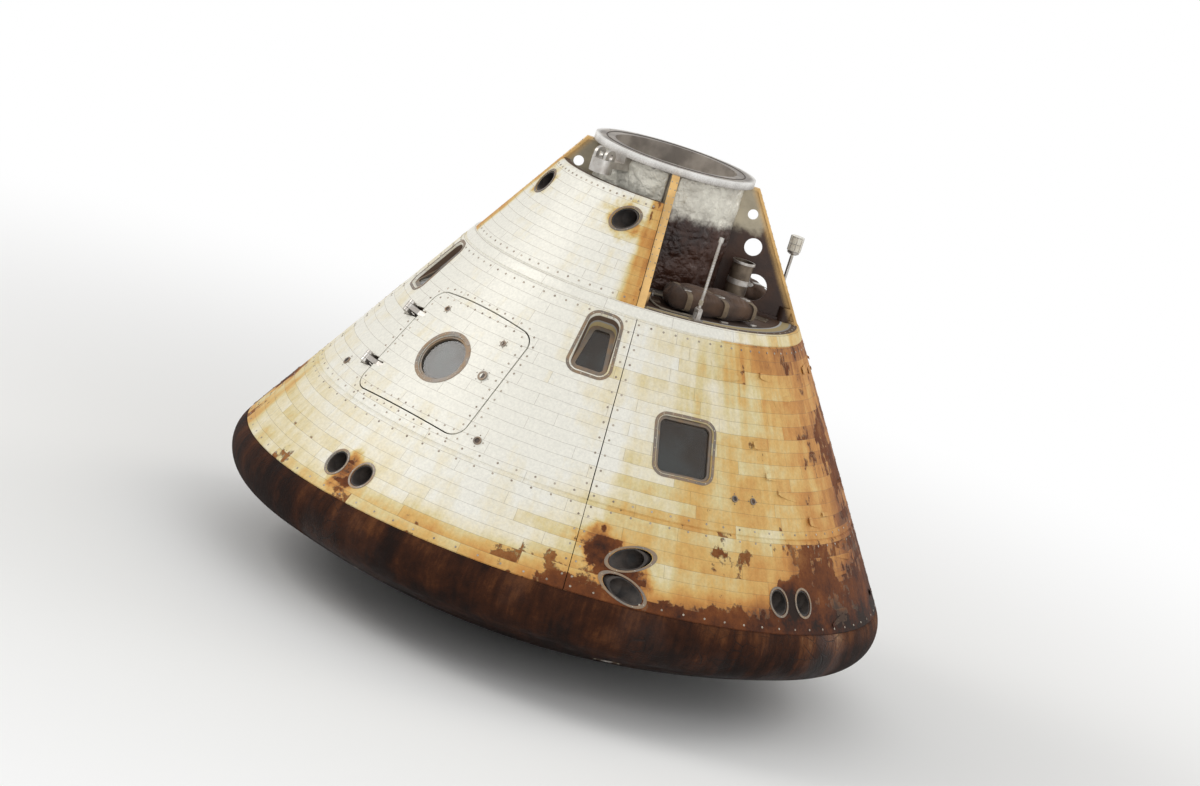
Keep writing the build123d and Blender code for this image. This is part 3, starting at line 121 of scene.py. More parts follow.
@dataclass(frozen=True)
class MouldLine:
    """Outer cone of the capsule, which runs off a round corner and a shallow dish below it."""

    half_angle: float = radians(33.0)
    dish_radius: float = 4.694
    corner_radius: float = 0.1956
    widest: float = round(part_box("aft_heat_shield")[1].x, 3)

    @property
    def apex(self) -> float:
        """Height at which the cone would come to a point.

        Returns:
            That height.
        """
        centre = self.widest - self.corner_radius
        reach = self.dish_radius - self.corner_radius
        low = self.dish_radius - sqrt(reach**2 - centre**2)
        touch = low + self.corner_radius * sin(self.half_angle)
        edge = centre + self.corner_radius * cos(self.half_angle)
        return touch + edge / tan(self.half_angle)

    def radius(self, height: float) -> float:
        """Radius of the cone at a height."""
        return (self.apex - height) * tan(self.half_angle)

    def sink(self, point: Vector) -> float:
        """Distance of a point below the cone, square to it."""
        return (self.radius(point.z) - point.xy.length) * cos(self.half_angle)

    def normal(self, azimuth: float) -> Vector:
        """Direction square to the cone."""
        return outward(azimuth) * cos(self.half_angle) + UP * sin(self.half_angle)

    def point(self, azimuth: float, height: float) -> Vector:
        """Point on the cone."""
        return outward(azimuth) * self.radius(height) + UP * height

    def project(self, point: Vector, direction: Vector, lift: float = 0.0) -> Vector:
        """Slides a point along a direction until it stands off the cone by a distance.

        Args:
            point: where the search starts.
            direction: the line to slide along.
            lift: height above the cone that is wanted.

        Returns:
            The point on that line.
        """
        step, here = 0.001, point.copy()
        for _ in range(8):
            miss = self.sink(here) + lift
            slope = (self.sink(here + direction * step) + lift - miss) / step
            if abs(slope) < 1e-6:
                break
            here = here - direction * (miss / slope)
        return here


SKIN = MouldLine()


@dataclass(frozen=True)
class Levels:
    """Heights of the joins between sections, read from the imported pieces."""

    parting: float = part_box("lower_panel_right")[0].z
    girth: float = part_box("cabin_wall_right")[0].z
    wall_top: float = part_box("forward_ring")[0].z
    deck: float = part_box("forward_ring")[1].z
    panel_top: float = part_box("engine_panel")[1].z
    tunnel_top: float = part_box("docking_tunnel")[1].z


LEVEL = Levels()


@dataclass(frozen=True)
class SkinPatch:
    """Tangent frame on the cone: u runs round it, v up it and n out of it."""

    azimuth: float
    height: float

    @property
    def normal(self) -> Vector:
        """Direction out of the cone."""
        return SKIN.normal(self.azimuth)

    def at(self, u: float, v: float, n: float = 0.0) -> Vector:
        """Point of the tangent frame in the row's frame."""
        uphill = self.normal.cross(around(self.azimuth))
        return SKIN.point(self.azimuth, self.height) + around(self.azimuth) * u + uphill * v + self.normal * n

    def draped(self, u: float, v: float, lift: float = 0.0) -> Vector:
        """Point of the tangent frame dropped onto the cone."""
        return SKIN.project(self.at(u, v), self.normal, lift)

    def trace(self, outline: Outline, lift: float = 0.0) -> list[Vector]:
        """Outline dropped onto the cone."""
        return [self.draped(u, v, lift) for u, v in outline]


# Shader graphs


@dataclass(frozen=True)
class Value:
    """A socket of a shader graph; values and numbers are joined by plain arithmetic."""

    net: "Net"
    socket: NodeSocket

    def __add__(self, other: object) -> "Value":
        """Sum."""
        return self.net.math("ADD", self, other)

    def __sub__(self, other: object) -> "Value":
        """Difference."""
        return self.net.math("SUBTRACT", self, other)

    def __rsub__(self, other: object) -> "Value":
        """Difference from a plain number."""
        return self.net.math("SUBTRACT", other, self)

    def __mul__(self, other: object) -> "Value":
        """Product."""
        return self.net.math("MULTIPLY", self, other)

    def __truediv__(self, other: object) -> "Value":
        """Quotient."""
        return self.net.math("DIVIDE", self, other)


class Net:
    """A shader node tree that is being wired, and the position that it works from."""

    at: Value

    def __init__(self, tree: NodeTree) -> None:
        """Empties the tree and keeps it."""
        tree.nodes.clear()
        self.tree = tree

    def feed(self, socket: NodeSocket, value: object) -> None:
        """Links a socket to a value of the graph, or sets its default.

        Args:
            socket: the input.
            value: a value of the graph, a number, a colour or a vector.
        """
        if isinstance(value, Value):
            self.tree.links.new(value.socket, socket)
        elif socket.type == "RGBA":
            socket.default_value = (*value, 1.0)
        else:
            socket.default_value = value

    def add(self, kind: str, inputs: dict[str | int, object], **settings: object) -> Node:
        """Adds a node.

        Args:
            kind: its type, without the words ShaderNode.
            inputs: what goes into its inputs, by name or number.
            settings: its properties.

        Returns:
            The node.
        """
        made = self.tree.nodes.new(f"ShaderNode{kind}")
        for name, value in settings.items():
            setattr(made, name, value)
        for name, value in inputs.items():
            self.feed(made.inputs[name], value)
        return made

    def out(self, node: Node, name: str | int = 0) -> Value:
        """Output of a node."""
        return Value(self, node.outputs[name])

    def math(self, kind: str, *values: object) -> Value:
        """Result of a Math node."""
        return self.out(self.add("Math", dict(enumerate(values)), operation=kind))

    def vector(self, kind: str, *values: object) -> Value:
        """Result of a Vector Math node."""
        made = self.add("VectorMath", dict(enumerate(values)), operation=kind)
        return self.out(made, "Value" if kind == "LENGTH" else "Vector")

    def split(self, vector: Value) -> list[Value]:
        """Parts of a vector."""
        return [Value(self, part) for part in self.add("SeparateXYZ", {0: vector}).outputs]

    def join(self, *parts: object) -> Value:
        """Vector of up to three numbers."""
        return self.out(self.add("CombineXYZ", dict(enumerate(parts))))

    def mix(self, share: object, low: object, high: object, kind: str = "MIX") -> Value:
        """Mixes two colours."""
        inputs = {"Factor": share, 6: low, 7: high}
        return self.out(self.add("Mix", inputs, data_type="RGBA", blend_type=kind), 2)

    def blend(self, share: object, low: object, high: object) -> Value:
        """Mixes two numbers."""
        return self.out(self.add("Mix", {"Factor": share, 2: low, 3: high}, data_type="FLOAT"))

    def noise(
        self, scale: object, detail: float = 3.0, rough: float = 0.55, at: Value | None = None
    ) -> Value:
        """Grey value of a Noise texture, at the tree's position or another vector."""
        inputs = {"Vector": at or self.at, "Scale": scale, "Detail": detail, "Roughness": rough}
        return self.out(self.add("TexNoise", inputs), "Fac")

    def cells(self, scale: object, at: Value | None = None) -> Value:
        """Distance to the nearest edge of a cell pattern."""
        inputs = {"Vector": at or self.at, "Scale": scale}
        return self.out(self.add("TexVoronoi", inputs, feature="DISTANCE_TO_EDGE"), "Distance")

    def speck(self, *values: object) -> Value:
        """Steady random number for one or two numbers."""
        inputs = {"Vector": self.join(*values)}
        return self.out(self.add("TexWhiteNoise", inputs, noise_dimensions="2D"), "Value")

    def rise(self, value: Value, start: object, end: object) -> Value:
        """Goes smoothly from 0 at start to 1 at end."""
        inputs = {"Value": value, "From Min": start, "From Max": end}
        return self.out(self.add("MapRange", inputs, interpolation_type="SMOOTHSTEP"), "Result")

    def ramp(self, share: Value, stops: Tones) -> Value:
        """Colour from a Color Ramp.

        Args:
            share: place along the ramp.
            stops: places and their colours.

        Returns:
            The colour.
        """
        made = self.add("ValToRGB", {"Fac": share})
        band = made.color_ramp
        while len(band.elements) < len(stops):
            band.elements.new(0.5)
        for element, (place, colour) in zip(band.elements, stops):
            element.position = place
            element.color = (*colour, 1.0)
        return self.out(made, "Color")

    def bump(self, height: Value, depth: float) -> Value:
        """Normal of a Bump node, for a height in metres times a depth."""
        return self.out(self.add("Bump", {"Strength": 1.0, "Distance": depth, "Height": height}), "Normal")

    def shade(self, inputs: dict[str, object]) -> None:
        """Ends a material in a Principled shader, with its inputs by name."""
        self.add("OutputMaterial", {"Surface": self.out(self.add("BsdfPrincipled", inputs))})

    def place(self, effect: type["Effect"], **given: object) -> SimpleNamespace:
        """Puts a shared effect into this tree, with its inputs by name, and returns its outputs."""
        made = self.add("Group", {"Vector": self.at, **given}, node_tree=effect.tree())
        return SimpleNamespace(**{out.name: Value(self, out) for out in made.outputs})


class Effect:
    """A shader node group that several finishes share."""

    takes: dict[str, object] = {}

    @classmethod
    @cache
    def tree(cls) -> NodeTree:
        """Builds the group, the first time that it is asked for.

        Returns:
            The group.
        """
        tree = bpy.data.node_groups.new(cls.__name__, "ShaderNodeTree")
        net = Net(tree)
        for name, default in {"Vector": (0.0, 0.0, 0.0), **cls.takes}.items():
            kind = "NodeSocketVector" if isinstance(default, tuple) else "NodeSocketFloat"
            socket = tree.interface.new_socket(name, in_out="INPUT", socket_type=kind)
            socket.default_value = default
        source = tree.nodes.new("NodeGroupInput").outputs
        net.at, *given = (Value(net, source[name]) for name in ("Vector", *cls.takes))
        made = cls().wire(net, *given)
        for name, value in made.items():
            kind = "NodeSocketVector" if value.socket.type == "VECTOR" else "NodeSocketFloat"
            tree.interface.new_socket(name, in_out="OUTPUT", socket_type=kind)
        drain = tree.nodes.new("NodeGroupOutput").inputs
        for name, value in made.items():
            net.feed(drain[name], value)
        return tree

    def wire(self, net: Net, *given: Value) -> dict[str, Value]:
        """Wires the group's inside.

        Args:
            net: the group's tree.
            given: the inputs in takes, in order.

        Returns:
            The outputs, by name.
        """
        raise NotImplementedError


class ConeCoordinates(Effect):
    """Where a point is on the capsule: below its skin, round it and down from its apex."""

    def wire(self, net: Net) -> dict[str, Value]:
        """Splits the position into the cone's own directions.

        Args:
            net: the tree.

        Returns:
            The outputs, by name.
        """
        x, y, z = net.split(net.at)
        flat = net.math("MAXIMUM", net.math("SQRT", x * x + y * y), 0.001)
        down = SKIN.apex - z
        sink = (down * tan(SKIN.half_angle) - flat) * cos(SKIN.half_angle)
        hatchward = y * -1.0
        return {
            "sink": sink,
            "lee": hatchward / flat,
            "azimuth": net.math("ARCTAN2", x, hatchward),
            "slant": down / cos(SKIN.half_angle),
            "height": z,
            "ring": net.join(x / flat, y / flat, z),
        }


class HeatAndSideShade(Effect):
    """How scorched the skin is, with painted shade on the side away from the hatch: least on the hatch side,
    most opposite it and near the base.
    """

    takes = {"bias": 0.0}

    def wire(self, net: Net, bias: Value) -> dict[str, Value]:
        """Adds the side term (flow and painted shade) and height to broad patches and streaks.

        Args:
            net: the tree.
            bias: what is added to the heat.

        Returns:
            The outputs, by name.
        """
        cone = net.place(ConeCoordinates)
        # Darker away from the hatch side: partly real scorching, partly painted shade of the side turned from
        # the light.
        side = net.math("MINIMUM", cone.lee * -0.50 + 0.44, 0.76)
        low = 1.0 - net.rise(cone.height, LEVEL.parting, LEVEL.girth + 0.3)
        hem = 1.0 - net.rise(cone.height, LEVEL.parting, LEVEL.parting + 0.20)
        swept = net.rise(cone.azimuth, -0.4, 0.9)
        patches = net.noise(1.3, 3.0) - 0.5
        streaks = net.noise(1.0, 5.0, 0.62, net.vector("MULTIPLY", cone.ring, (9.0, 9.0, 0.9))) - 0.5
        mottle = net.noise(9.0, 6.0, 0.65) - 0.5
        heat = side + low * 0.19 + hem * (swept * 0.27 + 0.11)
        return {"heat": heat + patches * 0.55 + streaks * 0.56 + mottle * 0.30 + bias}


class TapeStrips(Effect):
    """Strips of tape wrapped round the cone: a tone for each piece and the lines between them."""

    takes = {"pitch": 0.075, "pieces": 18.0}

    def wire(self, net: Net, pitch: Value, pieces: Value) -> dict[str, Value]:
        """Counts strips down the cone and pieces along each strip.

        Args:
            net: the tree.
            pitch: width of a strip.
            pieces: pieces of tape once round.

        Returns:
            The outputs, by name.
        """
        cone = net.place(ConeCoordinates)
        slant = cone.slant + (net.noise(5.0, 2.0) - 0.5) * 0.010
        place = slant / pitch
        strip = net.math("FLOOR", place)
        across = place - strip
        edge = net.math("MINIMUM", across, 1.0 - across) * pitch
        along = cone.azimuth / (2 * pi) * pieces + net.speck(strip, 3.0) * 7.0
        piece = net.math("FLOOR", along)
        butt = along - piece
        lap = net.math("MINIMUM", butt, 1.0 - butt) * slant * 3.42 / pieces
        line = 1.0 - net.rise(net.math("MINIMUM", edge, lap), 0.0, 0.0016)
        return {"tone": net.speck(strip, piece), "line": line, "step": net.rise(edge, 0.0, 0.004)}


class TornPatches(Effect):
    """Where tape has burned or peeled away, and the curled rim of each patch."""

    takes = {"heat": 0.5, "tone": 0.5, "level": 0.9}

    def wire(self, net: Net, heat: Value, tone: Value, level: Value) -> dict[str, Value]:
        """Thresholds ragged noise that grows with heat.

        Args:
            net: the tree.
            heat: how scorched the skin is.
            tone: tone of the piece of tape.
            level: what it takes to tear.

        Returns:
            The outputs, by name.
        """
        ring = net.place(ConeCoordinates).ring
        ragged = net.noise(1.0, 8.0, 0.66, net.vector("MULTIPLY", ring, (5.0, 5.0, 3.2)))
        chips = net.noise(1.0, 4.0, 0.6, net.vector("MULTIPLY", ring, (26.0, 26.0, 16.0)))
        over = (ragged + (chips - 0.5) * 0.34) * 1.25 + heat * 0.58 + tone * 0.13 - level
        bare = net.rise(over, 0.0, 0.012)
        return {"bare": bare, "rim": net.math("MAXIMUM", net.rise(over, -0.035, 0.0) - bare, 0.0)}


class Crinkle(Effect):
    """Fine creases of thin metal foil."""

    takes = {"scale": 26.0}

    def wire(self, net: Net, scale: Value) -> dict[str, Value]:
        """Bends a cell pattern with noise and adds a finer one.

        Args:
            net: the tree.
            scale: creases in a metre.

        Returns:
            The outputs, by name.
        """
        bend = net.out(net.add("TexNoise", {"Vector": net.at, "Scale": 14.0}), "Color")
        moved = net.vector("ADD", net.at, net.vector("MULTIPLY", bend, (0.05, 0.05, 0.05)))
        return {"crease": net.cells(scale, moved) + net.cells(scale * 3.1, moved) * 0.35}


class Soot(Effect):
    """A dark smudge round one place."""

    takes = {"place": (0.0, 0.0, 0.0), "reach": 0.3}

    def wire(self, net: Net, place: Value, reach: Value) -> dict[str, Value]:
        """Measures the distance to the place and breaks its edge up.

        Args:
            net: the tree.
            place: its middle.
            reach: how far it spreads.

        Returns:
            The outputs, by name.
        """
        far = net.vector("LENGTH", net.vector("SUBTRACT", net.at, place))
        rough = (net.noise(11.0, 5.0) - 0.5) * reach * 1.3
        return {"mask": 1.0 - net.rise(far + rough, 0.0, reach)}


class Grime(Effect):
    """Blotches and fine grain that keep any surface from being one flat colour."""

    takes = {"size": 6.0}

    def wire(self, net: Net, size: Value) -> dict[str, Value]:
        """Takes a soft noise and a fine one."""
        blotch = net.rise(net.noise(size, 5.0), 0.35, 0.7)
        return {"blotch": blotch, "grain": net.noise(size * 22.0, 3.0)}


class PaintedLitTop(Effect):
    """Painted light: the parts under the docking flange stay pale at their lit top, above the painted shade
    of the bays.
    """

    def wire(self, net: Net) -> dict[str, Value]:
        """Rises over a ragged line some way below the flange."""
        # Pale above a ragged line below the flange: painted light on the top, painted shade of the bay below.
        level = net.place(ConeCoordinates).height + (net.noise(7.0, 6.0, 0.65) - 0.5) * 0.22
        return {"mask": net.rise(level, LEVEL.tunnel_top - 0.31, LEVEL.tunnel_top - 0.23)}


class Weave(Effect):
    """Crossed threads of a cloth."""

    takes = {"threads": 260.0}

    def wire(self, net: Net, threads: Value) -> dict[str, Value]:
        """Multiplies three sets of waves, one for each axis."""
        x, y, z = (net.math("SINE", axis * (threads * 6.28)) for axis in net.split(net.at))
        return {"thread": x * y + y * z + x * z}


# Finishes


@dataclass(frozen=True)
class Finish:
    """A finish that makes its material once and hands it out again."""

    name: str
    slot: Slot

    @cache
    def material(self) -> Material:
        """Builds the material, the first time that it is asked for.

        Returns:
            The material.
        """
        made = bpy.data.materials.new(self.name)
        made.use_nodes = True
        net = Net(made.node_tree)
        net.at = net.out(net.add("TexCoord", {}), "Object")
        self.wire(net)
        return made

    def wire(self, net: Net) -> None:
        """Wires the finish, up to its shader.

        Args:
            net: the material's tree.
        """
        raise NotImplementedError


@dataclass(frozen=True)
class ScorchedFoil(Finish):
    """Silvered tape over ablator, from cream on the hatch side to burnt orange and char; part of that
    darkening away from the hatch side is painted shade.

    Behind the skin the same piece shows its layers: ablator, steel, insulation, cabin lining.
    """

    bias: float = 0.0
    strip: float = 0.075
    pieces: float = 16.0
    torn: float = 1.14
    shine: float = 0.12
    lining: float = 0.104
    sooty: Rows = ()
    gilded: Pair | None = None

    tones: Tones = (
        (0.02, (0.81, 0.79, 0.71)), (0.18, (0.77, 0.70, 0.52)), (0.30, (0.68, 0.57, 0.30)),
        (0.42, (0.66, 0.42, 0.14)), (0.56, (0.56, 0.265, 0.070)), (0.74, (0.28, 0.100, 0.028)),
        (0.95, (0.060, 0.034, 0.022)),
    )
    bare_tones: Tones = (
        (0.10, (0.50, 0.30, 0.13)), (0.38, (0.30, 0.125, 0.038)), (0.62, (0.165, 0.050, 0.014)),
        (0.88, (0.060, 0.019, 0.009)), (1.00, (0.020, 0.011, 0.008)),
    )
    layers: Tones = (
        (0.012, (0.115, 0.075, 0.05)), (0.042, (0.30, 0.29, 0.27)),
        (0.052, (0.42, 0.33, 0.17)), (0.088, (0.45, 0.45, 0.43)),
    )

    def wire(self, net: Net) -> None:
        """Layers heat, strips, torn patches, soot and the cut edges.

        Args:
            net: the tree.
        """
        cone = net.place(ConeCoordinates)
        heat = net.place(HeatAndSideShade, bias=self.bias).heat
        for *place, reach in self.sooty:
            heat = heat + net.place(Soot, place=place, reach=reach).mask * 0.62
        if self.gilded:
            turned = net.math("DEGREES", net.math("ABSOLUTE", cone.azimuth))
            heat = heat + net.rise(turned, *self.gilded) * 0.42
        strips = net.place(TapeStrips, pitch=self.strip, pieces=self.pieces)
        patch = net.place(TornPatches, heat=heat, tone=strips.tone, level=self.torn)
        foil = 1.0 - patch.bare
        speckle = net.noise(60.0, 4.0, 0.7)
        scar = heat * 0.6 + net.noise(4.5, 7.0, 0.72) * 0.95 - 0.42
        colour = net.ramp(heat + (strips.tone - 0.5) * 0.16, self.tones)
        colour = net.mix(strips.line * 0.65, colour, (0.17, 0.11, 0.065))
        colour = net.mix(patch.bare, colour, net.ramp(scar + speckle * 0.35, self.bare_tones))
        colour = net.mix(patch.rim * 0.75, colour, (0.10, 0.062, 0.04))
        shade = speckle * 0.45 + 0.78
        colour = net.mix(1.0, colour, net.join(shade, shade, shade), "MULTIPLY")
        for depth, paint in (*self.layers, (self.lining, (0.33, 0.36, 0.335))):
            colour = net.mix(net.rise(cone.sink, depth - 0.001, depth + 0.001), colour, paint)
        cut = net.rise(cone.sink, 0.010, 0.013)
        shiny = foil * (1.0 - net.rise(heat, 0.25, 0.75)) * (1.0 - cut)
        crease = net.place(Crinkle).crease
        height = foil * 0.55 + strips.step * 0.16 + crease * foil * 0.55
        height = height + net.cells(95.0) * patch.bare * 0.8 + speckle * 0.30
        rough = net.blend(foil, 0.88, heat * 0.28 + 0.52)
        net.shade({
            "Base Color": colour,
            "Metallic": shiny * self.shine,
            "Specular IOR Level": 0.25,
            "Roughness": net.math("MAXIMUM", rough, cut * 0.8),
            "Normal": net.bump(height, 0.0022),
        })


@dataclass(frozen=True)
class CharredDish(Finish):
    """Burnt ablator of the heat shield: honeycomb, radial flow streaks, ash and fine cracks."""

    stagnation: Colour = (0.0, 0.75, 0.1)
    # Near-black char: real char colour, darkened further as painted shade of the underside.
    tones: Tones = (
        (0.46, (0.006, 0.004, 0.0035)), (0.64, (0.013, 0.005, 0.003)), (0.78, (0.042, 0.013, 0.005)),
        (0.92, (0.120, 0.042, 0.014)), (1.06, (0.230, 0.120, 0.055)),
    )

    def wire(self, net: Net) -> None:
        """Draws streaks away from the place where the flow met the dish.

        Args:
            net: the tree.
        """
        away = net.vector("SUBTRACT", net.at, self.stagnation)
        ray = net.vector("NORMALIZE", net.vector("MULTIPLY", away, (1.0, 1.0, 0.0)))
        grain = net.vector("MULTIPLY", net.at, (0.5, 0.5, 0.8))
        rays = net.vector("ADD", net.vector("MULTIPLY", ray, (13.0, 13.0, 0.0)), grain)
        streak = net.noise(1.0, 7.0, 0.68, rays)
        cone = net.place(ConeCoordinates)
        mottle = net.noise(5.0, 8.0, 0.7)
        ash = streak * 0.75 + mottle * 0.55
        swept = net.rise(cone.lee, 0.95, -0.3) * 0.13 + 0.03
        ash = ash + net.rise(cone.height, 0.34, 0.60) * 0.06 + net.rise(cone.height, 0.54, 0.67) * swept
        pushed = net.vector("ADD", net.at, net.vector("MULTIPLY", ray, (0.02, 0.02, 0.0)))
        broken = net.rise(net.noise(2.4, 3.0), 0.48, 0.62)
        crack = (1.0 - net.rise(net.cells(13.0, pushed), 0.0, 0.035)) * broken
        height = net.cells(62.0) * 0.9 + mottle * 1.4 - crack * 0.8
        glaze = net.rise(net.noise(1.7, 5.0), 0.50, 0.66)
        net.shade({
            "Base Color": net.mix(crack * 0.8, net.ramp(ash, self.tones), (0.012, 0.009, 0.008)),
            "Specular IOR Level": 0.18,
            "Roughness": net.blend(glaze, 0.90, 0.52),
            "Normal": net.bump(height, 0.0045),
        })


@dataclass(frozen=True)
class Painted(Finish):
    """Paint, bare metal or plastic with blotches, grain and a sooted tone."""

    colour: Colour
    worn: Colour
    wear: float = 0.6
    metal: float = 0.0
    rough: float = 0.5
    size: float = 7.0
    grain: float = 0.0006

    def wire(self, net: Net) -> None:
        """Mixes the clean and the worn tone by blotches.

        Args:
            net: the tree.
        """
        grime = net.place(Grime, size=self.size)
        share = grime.blotch * self.wear + (grime.grain - 0.5) * 0.35
        net.shade({
            "Base Color": net.mix(share, self.colour, self.worn),
            "Metallic": self.metal,
            "Roughness": grime.blotch * 0.22 + (self.rough - 0.08),
            "Normal": net.bump(grime.grain, self.grain),
        })


@dataclass(frozen=True)
class CrinkledBlanket(Finish):
    """Thin metal-coated film over soft insulation, pale at its lit top and painted dark below as the bay's
    shade.
    """

    # Dark film colours: painted shade of the bay, with darker blotches.
    colour: Colour = (0.050, 0.017, 0.008)
    worn: Colour = (0.008, 0.004, 0.004)
    pale: Colour = (0.80, 0.77, 0.67)
    soot: float = 0.75

    def wire(self, net: Net) -> None:
        """Creases the film, paints the bay's shade on it below the lit top, and darkens that in patches.

        Args:
            net: the tree.
        """
        crease = net.place(Crinkle, scale=17.0).crease
        grime = net.place(Grime, size=4.0)
        share = grime.blotch * self.soot + (0.12 - crease) * 0.8
        # The film's own pale colour, shown at the lit top.
        clean = net.mix(share * 0.45, self.pale, self.colour)
        shade_and_soot = net.mix(share, self.colour, self.worn)
        net.shade({
            "Base Color": net.mix(net.place(PaintedLitTop).mask, shade_and_soot, clean),
            "Metallic": 0.15,
            "Roughness": grime.grain * 0.2 + 0.32,
            "Normal": net.bump(crease, 0.010),
        })


@dataclass(frozen=True)
class SootedBell(Finish):
    """Ablative liner of an engine bell, rings of soot inside."""

    def wire(self, net: Net) -> None:
        """Browns and blackens the liner in patches.

        Args:
            net: the tree.
        """
        grime = net.place(Grime, size=14.0)
        net.shade({
            "Base Color": net.mix(grime.blotch, (0.055, 0.042, 0.034), (0.016, 0.014, 0.013)),
            "Roughness": grime.grain * 0.25 + 0.55,
            "Normal": net.bump(grime.grain, 0.0015),
        })


@dataclass(frozen=True)
class EdgeGilt(Finish):
    """Bright outer edge of a part that turns dark below the mould line: soot, and painted shade deeper in the
    bays.
    """

    edge: Colour = (0.82, 0.52, 0.20)
    # Web colour: soot and painted shade of the bay.
    web: Colour = (0.060, 0.023, 0.010)
    soot: Colour = (0.012, 0.006, 0.005)
    fade: float = 0.05
    # How strongly the lit top is painted pale.
    lit_top: float = 0.8
    metal: float = 0.45

    def wire(self, net: Net) -> None:
        """Fades from the edge to the web and blackens it in patches.

        Args:
            net: the tree.
        """
        grime = net.place(Grime, size=6.0)
        inner = net.mix(grime.blotch, self.web, self.soot)
        # Painted light: the lit top is made pale over the shaded web.
        inner = net.mix(net.place(PaintedLitTop).mask * self.lit_top, inner, (0.70, 0.62, 0.45))
        ragged = grime.grain * 0.02 + 0.004
        # Deeper below the mould line fades to the dark web: soot and painted shade.
        deep = net.rise(net.place(ConeCoordinates).sink - ragged, 0.0, self.fade)
        net.shade({
            "Base Color": net.mix(grime.blotch * 0.34, net.mix(deep, self.edge, inner), self.web),
            "Metallic": net.blend(deep, self.metal, 0.1),
            "Roughness": grime.grain * 0.25 + 0.36,
            "Normal": net.bump(grime.grain, 0.0012),
        })


@dataclass(frozen=True)
class WindowGlass(Finish):
    """Heat-filmed window pane."""

    tint: Colour = (0.20, 0.21, 0.20)

    def wire(self, net: Net) -> None:
        """Leaves a film that dulls the glass in patches.

        Args:
            net: the tree.
        """
        film = net.place(Grime, size=3.5).blotch
        net.shade({
            "Base Color": net.mix(film, self.tint, (0.14, 0.10, 0.07)),
            "Transmission Weight": 0.80,
            "IOR": 1.46,
            "Roughness": film * 0.12 + 0.02,
        })


@dataclass(frozen=True)
class Cloth(Finish):
    """Woven cloth of the bags, couches and straps."""

    colour: Colour
    worn: Colour
    threads: float = 260.0
    soil: float = 0.5
    sheen: float = 0.25

    def wire(self, net: Net) -> None:
        """Weaves threads and soils them in patches.

        Args:
            net: the tree.
        """
        thread = net.place(Weave, threads=self.threads).thread
        share = net.place(Grime, size=5.0).blotch * self.soil - thread * 0.06
        net.shade({
            "Base Color": net.mix(share, self.colour, self.worn),
            "Roughness": 0.85,
            "Sheen Weight": self.sheen,
            "Normal": net.bump(thread, 0.0005),
        })


def smudges(height: float, *azimuths: float) -> Rows:
    """Places on the cone with the reach of a smudge at each."""
    return tuple((*SKIN.point(azimuth, height), 0.17) for azimuth in azimuths)


UPPER_FOIL = ScorchedFoil("Scorched tape", Slot.FOIL)
HATCH_FOIL = ScorchedFoil("Scorched tape, hatch", Slot.FOIL, lining=0.0535)
LOWER_FOIL = ScorchedFoil(
    "Scorched tape, lower band", Slot.SCORCHED, bias=0.03, torn=1.07, shine=0.10, lining=0.058,
    sooty=(*smudges(0.83, 0.0, 55.0, 90.0, -55.0, -90.0), *smudges(0.93, 49.0, -49.0)),
)
NOSE_FOIL = ScorchedFoil(
    "Scorched tape, nose", Slot.FOIL, bias=-0.03, strip=0.06, pieces=9.0, lining=0.043,
    sooty=smudges(2.53, 27.5, -27.5), gilded=(35.0, 39.0),
)
RING_FOIL = ScorchedFoil("Forward ring tape", Slot.FOIL, bias=-0.30, strip=0.9, torn=1.6, lining=9.0)
DISH = CharredDish("Charred ablator", Slot.CHAR)
PAD_PLUG = Painted(
    "Scorched pad", Slot.PAD, (0.22, 0.15, 0.09), (0.045, 0.03, 0.022), 0.9, 0.0, 0.8, 14.0, 0.002
)
BRIGHT_METAL = Painted(
    "Machined aluminium", Slot.METAL, (0.82, 0.80, 0.75), (0.42, 0.31, 0.19), 0.5, 0.5, 0.40
)
SOOTED_METAL = Painted(
    "Sooted aluminium", Slot.METAL, (0.20, 0.155, 0.11), (0.042, 0.028, 0.021), 0.9, 0.6, 0.42, 9.0
)
# White at the top, darker below: soot and painted shade of the bays.
TUNNEL_METAL = EdgeGilt(
    "Sooted tunnel with painted shade", Slot.METAL, (0.90, 0.89, 0.86), (0.34, 0.30, 0.26), (0.075, 0.060, 0.050),
    fade=0.035, lit_top=0.0, metal=0.12,
)
TUB_METAL = Painted("Cabin structure", Slot.METAL, (0.44, 0.47, 0.43), (0.27, 0.28, 0.25), 0.5)
STEEL = Painted("Steel", Slot.STEEL, (0.52, 0.50, 0.47), (0.20, 0.15, 0.11), 0.5, 0.85, 0.36, 16.0)
BOLT_STEEL = Painted("Bolt heads", Slot.STEEL, (0.42, 0.37, 0.30), (0.12, 0.08, 0.055), 0.8, 0.7, 0.42, 40.0)
# Dark brown deck: soot and painted shade of the bays' floor.
SOOTED_SHADED_DECK = Painted(
    "Sooted deck with painted shade", Slot.DECK, (0.075, 0.038, 0.020), (0.016, 0.010, 0.008), 0.85, 0.1, 0.58, 5.0
)
# Gold edges over a dark web: soot and painted shade of the bays, pale at the lit top.
GUSSET_GOLD = EdgeGilt("Gilded gusset", Slot.DECK)
